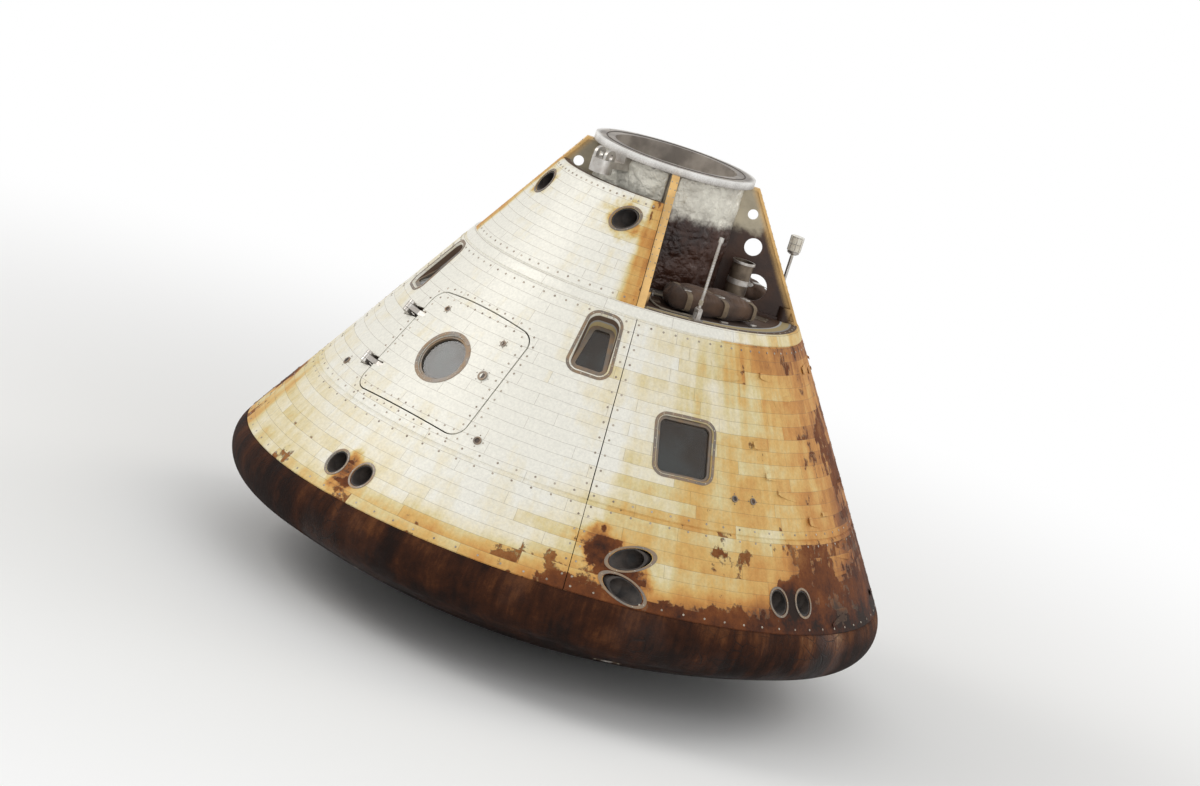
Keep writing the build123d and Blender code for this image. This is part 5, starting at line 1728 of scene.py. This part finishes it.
@dataclass
class TunnelBlanket(Assembly):
    """Quilted foil blanket laced round the docking tunnel, one panel in each bay."""

    radius: float = 0.4262
    half_turn: float = 40.5
    foot: float = LEVEL.deck + 0.030
    head: float = LEVEL.tunnel_top - 0.048
    cell: float = 0.0075
    quilt: float = 0.132
    thick: float = 0.020
    bays: tuple[str, ...] = ("hatch_side", "right", "rear", "left")

    def detail(self) -> None:
        """Blows up one flat quilt and wraps it round all four bays."""
        width = 2 * radians(self.half_turn) * self.radius
        height = self.head - self.foot
        columns, rows = int(width / self.cell), int(height / self.cell)
        across = [width * (i / columns - 0.5) for i in range(columns + 1)]
        form, levels = Form(), [height * j / rows for j in range(rows + 1)]
        form.rings([[Vector((x, 0.0, level)) for x in across] for level in levels], closed=False)
        piece = form.piece("flat_quilt", BLANKET)
        pins = piece.vertex_groups.new(name="stitches")
        for vertex in piece.data.vertices:
            column, row = vertex.index % (columns + 1), vertex.index // (columns + 1)
            on_edge = column in (0, columns) or row in (0, rows)
            if on_edge or self.near_stitch(vertex.co.x) or self.near_stitch(vertex.co.z - height / 2):
                pins.add([vertex.index], 1.0, "REPLACE")
        blown = Padding(pressure=-5.0).blown(piece, pins)
        bpy.data.objects.remove(piece)
        sheet = [blown[row * (columns + 1) : (row + 1) * (columns + 1)] for row in range(rows + 1)]
        for turn, name in enumerate(self.bays):
            self.wrap(sheet, f"tunnel_blanket_{name}", 90.0 * turn, turn % 2 == 0)

    def near_stitch(self, place: float) -> bool:
        """Tells whether a distance is on a stitch line."""
        return abs(place - self.quilt * round(place / self.quilt)) < self.cell * 0.5

    def wrap(self, sheet: Sequence[Path], name: str, bay: float, mirrored: bool) -> None:
        """Bends the quilt round the tunnel in one bay and closes its back.

        Args:
            sheet: the quilt's points, row by row.
            name: the piece's name.
            bay: azimuth of the bay.
            mirrored: whether the quilt is turned over, left to right.
        """
        form, rings = Form(), []
        for row in sheet:
            ring = []
            for point in reversed(row) if mirrored else row:
                turn = degrees((-point.x if mirrored else point.x) / self.radius)
                reach = self.radius + 0.003 + min(abs(point.y), self.thick)
                ring.append(outward(bay + turn) * reach + UP * (self.foot + point.z))
            for point in (ring[-1], ring[len(ring) // 2], ring[0]):
                ring.append(point.xy.normalized().to_3d() * self.radius + UP * point.z)
            rings.append(ring)
        form.rings(rings, capped=True)
        form.piece(name, BLANKET, smooth=70)


@dataclass
class RightingBags(Assembly):
    """Packed flotation bags, strapped down in three of the bays."""

    dressed = {SHADED_BAG_CLOTH: "righting_bags"}
    inner: float = 0.495
    outer: float = 0.830
    low: float = LEVEL.deck + 0.001
    high: float = LEVEL.deck + 0.130
    start: float = -37.0
    end: float = 20.0
    shrink: float = 0.013
    straps: Row = (-26.0, -8.5, 9.0)
    strap: Pair = (0.034, 0.0022)
    buckle: Size = (0.050, 0.044, 0.007)
    deck_ring: Size = (0.022, 0.05, 0.010)
    swell: Size = (0.001, 0.017, 0.055)
    padding: Padding = Padding(voxel=0.0085)

    @property
    def middle(self) -> float:
        """Radius of the bag's middle."""
        return (self.inner + self.outer) / 2

    def detail(self) -> None:
        """Makes one bag, copies it to the other bays and straps them."""
        first = self.bag("righting_bag_right", 90.0)
        bags = [first]
        for name, turn in (("righting_bag_rear", 90.0), ("righting_bag_left", 180.0)):
            mesh = first.data.copy()
            mesh.transform(Matrix.Rotation(radians(turn), 4, "Z"))
            bags.append(placed(mesh, name))
        for bag in bags:
            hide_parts("righting_bags")
        self.strap_down()

    def section(self, azimuth: float, grow: float = 0.0, count: int = 40) -> list[Vector]:
        """Rounded section of the bag at an azimuth.

        Args:
            azimuth: where the section is cut.
            grow: how far it stands off the shrunk form.
            count: its number of points.

        Returns:
            Its points, once round.
        """
        level = (self.low + self.high) / 2
        wide = (self.outer - self.inner) / 2 - self.shrink + grow
        tall = (self.high - self.low) / 2 - self.shrink + grow
        points = []
        for turn in (2 * pi * i / count for i in range(count)):
            x, z = bulged(cos(turn), 0.45) * wide, bulged(sin(turn), 0.45) * tall
            points.append(outward(azimuth) * (self.middle + x) + UP * (level + z))
        return points

    def bag(self, name: str, bay: float, steps: int = 40) -> Object:
        """Lofts one bag and blows it up between its straps.

        Args:
            name: its name.
            bay: azimuth of its bay.
            steps: parts along its length.

        Returns:
            The swollen bag.
        """
        form, rings = Form(), []
        for i in range(steps + 1):
            ring = self.section(bay + self.start + 1.5 + (self.end - self.start - 3.0) * i / steps)
            rounding = max(0.05, (1 - abs(2 * i / steps - 1) ** 9)) ** 0.5
            centre = sum(ring, Vector()) / len(ring)
            rings.append([centre + (point - centre) * rounding for point in ring])
        form.rings(rings, capped=True)
        piece = form.piece(name, SHADED_BAG_CLOTH)

        def cap(point: Vector) -> float:
            """Lets the cloth move little under a strap and more between two.

            Args:
                point: a place on the bag.

            Returns:
                The furthest that it may move.
            """
            azimuth, flat = degrees(atan2(point.x, -point.y)), point.xy.length
            apart = min(abs(azimuth - bay - strap) for strap in self.straps) * pi / 180 * flat
            near = min(apart, abs(flat - self.middle) + 0.02)
            least, more, reach = self.swell
            return least + more * min(1.0, near / reach) ** 0.8

        self.padding.swell(piece, cap)
        return piece

    def strap_down(self) -> None:
        """Webbing over the bags, with buckles and deck rings."""
        webs, buckles = Form(), Form()
        for azimuth in (bay + strap for bay in BAYS for strap in self.straps):
            path = [p for p in self.section(azimuth, 0.0045, 64) if p.z > self.low + 0.006]
            path.sort(key=lambda p: atan2(p.z - self.low, p.xy.length - self.middle))
            width, thickness = self.strap
            webs.ribbon(path, around(azimuth), [width] * len(path), thickness)
            axes = (outward(azimuth), around(azimuth), UP)
            top = outward(azimuth) * (self.middle + 0.07) + UP * (self.high - self.shrink + 0.008)
            buckles.block(top, axes, self.buckle)
            for flat in (self.inner - 0.004, self.outer + 0.004):
                buckles.block(outward(azimuth) * flat + UP * (self.low + 0.004), axes, self.deck_ring)
        webs.piece("bag_straps", WEBBING, smooth=60)
        buckles.piece("bag_buckles", STEEL, bevel=0.0015)


@dataclass
class ForwardDeck(Assembly):
    """Everything on the deck round the tunnel."""

    dressed = {
        SOOTED_SHADED_DECK: "forward_deck",
        TUNNEL_METAL: "docking_tunnel",
        GUSSET_GOLD: "gussets",
        SOOTED_METAL: "drogue_mortars pilot_mortars",
        STEEL: "riser_anchor mast_brackets antenna_right antenna_left",
        LAMP_COVER: "beacon_mast",
        BRIGHT_METAL: "tunnel_hatch",
    }
    gusset_level: float = 2.50
    rivet_rows: tuple[float, float, int] = (-0.26, 0.34, 14)
    rivet_place: Pair = (0.014, -0.0059)
    rivet: Screw = (0.0042, 0.0016)
    seal: Pair = (0.415, 0.004)
    deck_screw: Screw = (0.006, 0.003)
    foot_nut: Screw = (0.008, 0.006)
    foot_circle: float = 0.459
    drogues: Row = (0.165, -0.55, 0.092, 0.33)
    pilots: Row = (31.0, 0.565, 0.062, 0.29)
    bands: Pair = (0.16, 0.55)
    band: Size = (-0.001, 0.005, 0.026)
    lip: Size = (-0.001, 0.007, 0.012)
    clamp: Size = (0.022, 0.026, 0.020)
    clamp_bolt: Screw = (0.007, 0.006)
    covers: Rows = ((32.0, 0.72, 0.15, 0.11), (-41.0, 0.62, 0.05, 0.16))
    cover_screws: Rows = ((-1, -1), (-1, 1), (1, 1), (1, -1), (0, 1), (0, -1))
    cover_screw: Screw = (0.004, 0.002)
    bundles: Rows = ((0.474, 0.0065), (0.487, 0.0055))
    clip: Size = (0.046, 0.014, 0.020)
    cartridge: Profile = ((0.014, 0.0), (0.014, 0.050), (0.009, 0.060), (0.009, 0.072))
    insulator: Profile = ((0.011, 0.0), (0.0135, 0.006), (0.011, 0.012), (0.0135, 0.018), (0.0105, 0.03))
    valves: tuple[tuple[float, float, int, Profile], ...] = (
        (0.20, 0.12, 24, ((0.034, 0.0), (0.034, 0.008), (0.020, 0.012), (0.016, 0.026), (0.006, 0.03))),
        (-0.18, -0.16, 6, ((0.022, 0.0), (0.022, 0.010), (0.012, 0.012), (0.012, 0.02))),
    )
    wrap: Size = (0.0098, 0.04, 0.30)
    wrap_points: int = 220
    wrap_wire: float = 0.0012
    beacon_parts: tuple[tuple[float, int, Profile], ...] = (
        (0.045, 20, ((0.012, 0.0), (0.014, 0.02), (0.012, 0.04))),
        (0.085, 20, ((0.0105, 0.0), (0.0105, 0.20))),
    )
    beacon_foot: Profile = ((0.02, 0.0), (0.036, 0.010), (0.038, 0.022))
    cage: Pair = (0.0395, 0.0016)
    hoops: Size = (0.088, 0.045, 0.004)

    def detail(self) -> None:
        """Fits out the bays."""
        for part in (TunnelBlanket(), RightingBags()):
            part.build()
        self.gusset_rivets()
        self.seals()
        self.mortar_bands()
        self.access_covers()
        self.harness()
        for node, body in (("antenna_right", Body.ANTENNA_RIGHT), ("antenna_left", Body.ANTENNA_LEFT)):
            self.antenna_wrap(node, body)
        self.beacon()
        self.tunnel_hatch_fittings()

    def gusset_rivets(self) -> None:
        """Two rows of rivets down the outer edge of each gusset."""
        rivets, (low, high, count), (spread, sink) = Form(), self.rivet_rows, self.rivet_place
        for patch in (SkinPatch(corner, self.gusset_level) for corner in CORNERS):
            levels = [low + (high - low) * i / (count - 1) for i in range(count)]
            places = [patch.at(side * spread, level, sink) for level in levels for side in (-1, 1)]
            rivets.screws(places, patch.normal, self.rivet)
        rivets.piece("gusset_rivets", BOLT_STEEL)

    def seals(self) -> None:
        """Seal ring on the docking flange and screws round the deck."""
        seal, screws, (radius, thickness) = Form(), Form(), self.seal
        seal.tube(circle(UP * LEVEL.tunnel_top, UP, radius, 72), thickness, 8, closed=True)
        seal.piece("docking_seal", GASKET)
        inner = SKIN.radius(LEVEL.deck) - 0.030
        screws.screws(circle(UP * LEVEL.deck, UP, inner, 72, 2.5), UP, self.deck_screw)
        feet = [azimuth for azimuth in range(5, 360, 10) if abs((azimuth + 45) % 90 - 45) <= 41.5]
        lift = UP * (LEVEL.deck + 0.020)
        nuts = [outward(azimuth) * self.foot_circle + lift for azimuth in feet]
        screws.screws(nuts, UP, self.foot_nut, 6)
        screws.piece("deck_screws", BOLT_STEEL)

    def mortar_bands(self) -> None:
        """Clamp bands, lips, gas cartridges and their leads on the mortars."""
        bands, bolts, leads = Form(), Form(), Form()
        x, y, *drogue = self.drogues
        turn, flat, *pilot = self.pilots
        mortars = [(Vector((side * x, y, LEVEL.deck)), *drogue) for side in (-1, 1)]
        mortars += [(outward(bay + turn) * flat + UP * LEVEL.deck, *pilot) for bay in BAYS]
        for centre, radius, height in mortars:
            lug = centre.xy.normalized().to_3d()
            side = UP.cross(lug)
            inner, outer, tall = self.band
            for ring in (centre + UP * height * share for share in self.bands):
                bands.washer(ring, UP, radius + inner, radius + outer, tall)
                middle = ring + UP * (tall / 2)
                bolts.block(middle + lug * (radius + 0.012), (lug, side, UP), self.clamp)
                bolts.screws([middle + lug * (radius + 0.024)], lug, self.clamp_bolt, 6)
            inner, outer, tall = self.lip
            bands.washer(centre + UP * (height - tall), UP, radius + inner, radius + outer, tall)
            base = centre + side * (radius + 0.018)
            bolts.turned(base, UP, self.cartridge)
            hook = base + UP * self.cartridge[-1][1]
            path = [hook, hook + UP * 0.02, hook + side * 0.02 + UP * 0.012, hook + side * 0.03 - UP * 0.045]
            leads.tube(curve_through([*path, base + side * 0.045 + UP * 0.006]), 0.004, 8)
        bands.piece("mortar_bands", STEEL, bevel=0.001)
        bolts.piece("mortar_fittings", STEEL, bevel=0.001)
        leads.piece("mortar_leads", HARNESS)

    def access_covers(self) -> None:
        """Small covers on the deck in each bay, with their screws."""
        plates, screws = Form(), Form()
        for bay in BAYS:
            for turn, flat, wide, deep in self.covers:
                axes = (outward(bay + turn), around(bay + turn), UP)
                centre = outward(bay + turn) * flat + UP * LEVEL.deck
                plates.block(centre + UP * 0.002, axes, (wide, deep, 0.006))
                across, along = axes[0] * (wide / 2 - 0.01), axes[1] * (deep / 2 - 0.01)
                places = [centre + across * a + along * b + UP * 0.005 for a, b in self.cover_screws]
                screws.screws(places, UP, self.cover_screw)
        plates.piece("deck_covers", SOOTED_METAL, bevel=0.001)
        screws.piece("deck_cover_screws", BOLT_STEEL)

    def harness(self) -> None:
        """Sleeved wire bundles clipped to the deck round the foot of the tunnel."""
        bundles, clips = Form(), Form()
        ring, mast = UP * (LEVEL.deck + 0.012), UP * (LEVEL.deck + 0.008)
        for bay in BAYS:
            for flat, radius in self.bundles:
                points = [outward(bay + turn) * flat + ring for turn in range(-40, 41, 8)]
                bundles.tube(curve_through(points, 3), radius, 8)
            for turn in range(-36, 37, 18):
                axes = (outward(bay + turn), around(bay + turn), UP)
                clips.block(axes[0] * 0.481 + UP * (LEVEL.deck + 0.010), axes, self.clip)
            start, middle = outward(bay - 39.5) * 0.49 + ring, outward(bay - 39.5) * 0.70 + mast
            path = [start, start.lerp(middle, 0.5), middle, outward(bay - 36) * 0.845 + mast]
            bundles.tube(curve_through([*path, outward(bay - 24.0) * 0.86 + mast]), 0.005, 8)
        bundles.piece("deck_harness", HARNESS, smooth=60)
        clips.piece("harness_clips", STEEL, bevel=0.002)

    def antenna_wrap(self, node: str, body: Body) -> None:
        """Insulator and wound wire on an antenna.

        Args:
            node: the antenna.
            body: what it moves with.
        """
        low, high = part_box(node)
        centre = Vector(((low.x + high.x) / 2, (low.y + high.y) / 2, low.z + 0.045))
        form = Form()
        form.turned(centre, UP, self.insulator, 20)
        (reach, foot, length), count = self.wrap, self.wrap_points
        outs = [Matrix.Rotation(i * 0.5, 3, "Z") @ (RIGHT * reach) for i in range(count)]
        path = [centre + UP * (foot + length * (i / count)) + out for i, out in enumerate(outs)]
        form.tube(path, self.wrap_wire, 6)
        form.piece(f"{node}_wrap", HARNESS, body, smooth=60)

    def beacon(self) -> None:
        """The beacon's wire cage and its base."""
        low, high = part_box("beacon_mast")
        centre = Vector(((low.x + high.x) / 2, (low.y + high.y) / 2, 0.0))
        cage, base, (radius, wire) = Form(), Form(), self.cage
        for drop in self.hoops:
            cage.tube(circle(centre + UP * (high.z - drop), UP, radius, 36), wire, 6, closed=True)
        for out in circle(centre, UP, radius, 8):
            cage.tube([out + UP * (high.z - 0.09), out + UP * (high.z - 0.002)], wire, 6)
        cage.piece("beacon_cage", STEEL, Body.BEACON)
        base.turned(centre + UP * (high.z - 0.112), UP, self.beacon_foot, 32)
        for level, sides, profile in self.beacon_parts:
            base.turned(centre + UP * (low.z + level), UP, profile, sides)
        base.piece("beacon_base", STEEL, Body.BEACON)

    def tunnel_hatch_fittings(self) -> None:
        """Valves and screws on the tunnel hatch's upper side."""
        low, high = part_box("tunnel_hatch")
        top = low.z + 0.050
        valves, screws = Form(), Form()
        for x, y, sides, profile in self.valves:
            valves.turned(Vector((x, y, top)), UP, profile, sides)
        valves.piece("tunnel_hatch_valves", STEEL, Body.TUNNEL_HATCH, bevel=0.0008)
        screws.screws(circle(UP * (high.z - 0.022), UP, 0.35, 24, 7.5), UP, (0.005, 0.002))
        screws.piece("tunnel_hatch_screws", BOLT_STEEL, Body.TUNNEL_HATCH)


@dataclass
class Couches(Assembly):
    """Three padded couches with their webbing."""

    dressed = {COUCH_CLOTH: "couch_pads", STEEL: "couch_frame"}
    pitch: float = 0.62
    half_width: float = 0.27
    level: float = 0.962
    shrink: float = 0.010
    thick: float = 0.074
    channel: float = 0.105
    web: float = 0.044
    pads: tuple[tuple[Pair, Pair], ...] = (
        ((-0.900, 0.962), (-0.690, 0.962)),
        ((-0.675, 0.962), (-0.030, 0.962)),
        ((0.012, 1.000), (0.110, 1.330)),
        ((0.150, 1.358), (0.550, 1.324)),
    )
    shoulder: Rows = (
        (0.090, -0.70, -0.010), (0.085, -0.60, 0.004), (0.070, -0.42, 0.012), (0.035, -0.24, 0.014)
    )
    lap: Rows = (
        (0.262, -0.17, -0.035), (0.235, -0.17, 0.002), (0.130, -0.19, 0.013), (0.030, -0.21, 0.015)
    )
    buckle: Profile = ((0.034, -0.006), (0.036, 0.004), (0.030, 0.010), (0.010, 0.012))
    padding: Padding = Padding(voxel=0.014)

    def detail(self) -> None:
        """Makes the middle couch and copies it to both sides."""
        pads = [self.pad(i, *ends) for i, ends in enumerate(self.pads)]
        for side, name in ((-1, "left"), (1, "right")):
            for i in range(len(self.pads)):
                mesh = pads[i].data.copy()
                mesh.transform(Matrix.Translation((side * self.pitch, 0, 0)))
                pads.append(placed(mesh, f"couch_{name}_pad_{i}"))
        for pad in pads:
            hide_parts("couch_pads")
        self.webbing()

    def pad(self, index: int, start: Pair, end: Pair, steps: int = 30, count: int = 44) -> Object:
        """A padded slab between two points of the couch's side view.

        Args:
            index: its number along the couch.
            start: its first (y, z) point.
            end: its last (y, z) point.
            steps: parts along it.
            count: points round it.

        Returns:
            The swollen pad.
        """
        first, last = Vector((0.0, *start)), Vector((0.0, *end))
        length, along = (last - first).length, (last - first).normalized()
        wide = RIGHT * (self.half_width - self.shrink)
        tall = RIGHT.cross(along) * (self.thick / 2 - self.shrink)
        turns = [2 * pi * k / count for k in range(count)]
        ring = [wide * bulged(cos(turn), 0.3) + tall * bulged(sin(turn), 0.5) for turn in turns]
        form, rings = Form(), []
        for i in range(steps + 1):
            rounding = max(0.06, 1 - abs(2 * i / steps - 1) ** 14) ** 0.5
            centre = first + along * (self.shrink + (length - 2 * self.shrink) * i / steps)
            rings.append([centre + point * rounding for point in ring])
        form.rings(rings, capped=True)
        piece = form.piece(f"couch_middle_pad_{index}", COUCH_CLOTH)

        def cap(point: Vector) -> float:
            """Furthest that a point may move: little along a sewn channel."""
            place = (point - first).dot(along) / self.channel
            return 0.002 + 0.014 * abs(sin(pi * place)) ** 0.6

        self.padding.swell(piece, cap)
        return piece

    def webbing(self) -> None:
        """Shoulder straps, lap straps and buckles."""
        webs, buckles = Form(), Form()
        for middle in (-self.pitch, 0.0, self.pitch):
            base = Vector((middle, 0.0, self.level + self.thick / 2 + 0.006))
            for side in (-1, 1):
                for points, across in ((self.shoulder, RIGHT), (self.lap, -outward(0.0))):
                    path = curve_through([base + Vector((side * x, y, z)) for x, y, z in points])
                    webs.ribbon(path, across, [self.web] * len(path), 0.002)
            buckles.turned(base + Vector((0.0, -0.215, 0.017)), UP, self.buckle, 24)
        webs.piece("couch_webbing", HARNESS_WEB, smooth=60)
        buckles.piece("couch_buckles", STEEL)


@dataclass
class Cabin(Assembly):
    """What shows through the windows and the open hatch."""

    dressed = {TUB_METAL: "cabin_tub", GREY_PAINT: "main_console equipment_racks"}
    seed: int = 4
    columns: int = 8
    face: float = 0.044
    head: float = 0.012
    foot: float = 0.265
    proud: float = 0.004
    row_pitch: float = 0.040
    low_row: float = 0.238
    dial_drops: Pair = (0.062, 0.167)
    bezel: Size = (0.036, 0.043, 0.010)
    dial: Profile = ((0.0365, -0.001), (0.036, 0.004))
    needle: Size = (0.026, 0.002, 0.0012)
    switch_ring: Size = (0.0035, 0.0075, 0.003)
    switch: Profile = ((0.0022, 0.0), (0.0026, 0.010), (0.0034, 0.015), (0.002, 0.017))
    rack_rows: int = 3
    rack_pitch: float = 0.352
    door: Size = (0.318, 0.012, 0.014)
    latch: Screw = (0.008, 0.004)
    grip_radius: float = 0.005

    def detail(self) -> None:
        """Adds the couches, the instruments and the cabinet doors."""
        Couches().build()
        self.console()
        self.racks()

    def console(self) -> None:
        """Dials, switches and panel seams on the console's crew side."""
        low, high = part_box("main_console")
        chance, out = random.Random(self.seed), outward(0.0)
        width, top, bottom = (high.x - low.x) / self.columns, high.z - self.head, high.z - self.foot
        seam = (width - 0.006, top - bottom - 0.004, 0.005)
        bezels, dials, switches, plates = Form(), Form(), Form(), Form()
        for column in range(self.columns):
            middle = low.x + width * (column + 0.5)
            centre = Vector((middle, low.y + self.face, (top + bottom) / 2))
            plates.block(centre + out * 0.0015, (RIGHT, UP, out), seam)
            across, upward = RIGHT * (width / 2 - 0.010), UP * ((top - bottom) / 2 - 0.010)
            corners = [centre + across * a + upward * b + out * self.proud for a in (-1, 1) for b in (-1, 1)]
            switches.screws(corners, out, (0.003, 0.0015))
            rows = [top - 0.030 - self.row_pitch * row for row in range(6)]
            if column % 2:
                rows = [top - self.low_row]
                for level in (top - drop for drop in self.dial_drops):
                    spot = Vector((middle, low.y + self.face, level)) + out * self.proud
                    bezels.washer(spot, out, *self.bezel)
                    dials.turned(spot, out, self.dial, 32)
                    needle = (RIGHT * chance.uniform(-1, 1) + UP * chance.uniform(-1, 1)).normalized()
                    axes = (needle, needle.cross(out), out)
                    switches.block(spot + needle * 0.011 + out * 0.0055, axes, self.needle)
            for level in rows:
                for k in range(4):
                    place = Vector((middle + (k - 1.5) * width * 0.21, low.y + self.face, level))
                    spot = place + out * self.proud
                    bezels.washer(spot, out, *self.switch_ring)
                    lean = (out + UP * chance.choice((-0.45, 0.45))).normalized()
                    switches.turned(spot, lean, self.switch, 10)
        plates.piece("console_plates", GREY_PAINT, bevel=0.001)
        bezels.piece("console_bezels", STEEL)
        dials.piece("console_dials", DIAL_BLACK)
        switches.piece("console_switches", DIAL_WHITE)

    def racks(self) -> None:
        """Doors with latches and handles on the equipment racks."""
        low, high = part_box("equipment_racks")
        doors, latches, grips = Form(), Form(), Form()
        out, tall = outward(0.0), (high.z - low.z) / self.rack_rows
        wide, slit, thick = self.door
        for column in (-1, 0, 1):
            for row in range(self.rack_rows):
                centre = Vector((column * self.rack_pitch, low.y, low.z + tall * (row + 0.5)))
                doors.block(centre + out * 0.004, (RIGHT, UP, out), (wide, tall - slit, thick))
                left, right = (centre + RIGHT * side * 0.07 + UP * (tall * 0.28) for side in (-1, 1))
                path = [left, left + out * 0.03, left.lerp(right, 0.12) + out * 0.038]
                path += [right.lerp(left, 0.12) + out * 0.038, right + out * 0.03, right]
                raised = [point + out * 0.008 for point in path]
                grips.tube(curve_through(raised, 4), self.grip_radius, 10)
                across, upward = RIGHT * 0.142, UP * (tall / 2 - 0.024)
                corners = [centre + across * a + upward * b + out * 0.011 for a in (-1, 1) for b in (-1, 1)]
                latches.screws(corners, out, self.latch, 6)
        doors.piece("rack_doors", GREY_PAINT, bevel=0.003)
        grips.piece("rack_grips", STEEL)
        latches.piece("rack_latches", STEEL)


@dataclass
class Studio(Assembly):
    """Pale floor, soft lamps and the camera at the photograph's angle."""

    azimuth: float = 41.0
    elevation: float = 11.0
    roll: float = 17.8
    lens: float = 135.0
    frame_height: float = 4.55
    aspect: float = 1200 / 786
    target: Size = (0.0, 0.0, 1.40)
    lamp_target: Size = (0.0, 0.0, 1.30)
    floor_reach: float = 60.0
    floor_fade: Pair = (2.6, 10.0)
    world_light: float = 0.62
    lamps: tuple[tuple[str, Size, float, float, Colour], ...] = (
        ("key", (-7.0, -9.0, 9.0), 6.0, 520.0, (1.0, 0.985, 0.96)),
        ("fill", (9.0, -5.0, 5.0), 7.0, 230.0, (0.97, 0.985, 1.0)),
        ("rim", (3.0, 10.0, 8.0), 6.0, 300.0, (1.0, 0.98, 0.95)),
    )

    def detail(self) -> None:
        """Sets the stage."""
        bpy.context.scene.view_settings.view_transform = "Standard"
        self.floor()
        world = bpy.data.worlds.new("Studio")
        world.use_nodes = True
        net = Net(world.node_tree)
        strength = net.blend(self.seen(net), self.world_light, 1.0)
        back = net.add("Background", {"Color": (1.0, 1.0, 1.0), "Strength": strength})
        net.add("OutputWorld", {"Surface": net.out(back)})
        bpy.context.scene.world = world
        for name, place, width, power, colour in self.lamps:
            light = bpy.data.lights.new(name, "AREA")
            light.size, light.energy, light.color = width, power, colour
            self.stand(light, Vector(place), Vector(self.lamp_target) - Vector(place))
        self.camera()

    def floor(self) -> None:
        """A pale floor that takes the shadow and fades to the white backdrop far off."""
        mesh, reach = bpy.data.meshes.new("floor"), self.floor_reach
        corners = [(-reach, -reach, 0), (reach, -reach, 0), (reach, reach, 0), (-reach, reach, 0)]
        mesh.from_pydata(corners, [], [(0, 1, 2, 3)])
        made = bpy.data.objects.new("floor", mesh)
        bpy.context.collection.objects.link(made)
        paint = bpy.data.materials.new("Pale floor")
        paint.use_nodes = True
        net = Net(paint.node_tree)
        near = net.out(net.add("BsdfPrincipled", {"Base Color": (0.86, 0.86, 0.85), "Roughness": 0.9}))
        away = net.vector("LENGTH", net.out(net.add("TexCoord", {}), "Object"))
        far = net.rise(away, *self.floor_fade) * self.seen(net)
        blend = net.add("MixShader", {0: far, 1: near, 2: net.out(net.add("Emission", {}))})
        net.add("OutputMaterial", {"Surface": net.out(blend)})
        mesh.materials.append(paint)

    def seen(self, net: Net) -> Value:
        """Finds the rays that should see plain white.

        Args:
            net: the tree.

        Returns:
            1 for rays that come from the camera, a reflection or a pane.
        """
        rays = net.add("LightPath", {})
        kinds = ("Camera", "Glossy", "Transmission")
        seen, glossy, through = (net.out(rays, f"Is {kind} Ray") for kind in kinds)
        return net.math("MAXIMUM", seen, net.math("MAXIMUM", glossy, through))

    def stand(self, held: ID, place: Vector, aim: Vector, roll: float = 0.0) -> Object:
        """Places a lamp or camera and points it.

        Args:
            held: the lamp or camera data.
            place: where it stands.
            aim: the direction that it looks in.
            roll: its turn about that direction, in degrees.

        Returns:
            The object.
        """
        made = bpy.data.objects.new(held.name, held)
        made.location = place
        made.rotation_mode = "QUATERNION"
        level = aim.to_track_quat("-Z", "Y")
        made.rotation_quaternion = level @ Matrix.Rotation(radians(roll), 3, "Z").to_quaternion()
        bpy.context.collection.objects.link(made)
        return made

    def camera(self) -> None:
        """A long lens at the photograph's viewing angle, tipped as the capsule hangs there."""
        rise = radians(self.elevation)
        back = outward(self.azimuth) * cos(rise) + UP * sin(rise)
        lens = bpy.data.cameras.new("camera")
        lens.lens = self.lens
        lens.clip_end = 200.0
        distance = self.frame_height * self.aspect * self.lens / lens.sensor_width
        place = Vector(self.target) + back * distance
        bpy.context.scene.camera = self.stand(lens, place, -back, self.roll)


def main() -> None:
    """Builds the capsule's looks in order."""
    logging.basicConfig(level=logging.INFO, format="%(name)s: %(message)s")
    skins = (AftHeatShield(), ConeSkin(), Engines(), Windows(), SideHatch(), RearFittings())
    for assembly in (*skins, ForwardDeck(), Cabin(), Studio()):
        assembly.build()
        LOG.info("%s done", type(assembly).__name__)


if __name__ == "__main__":
    main()
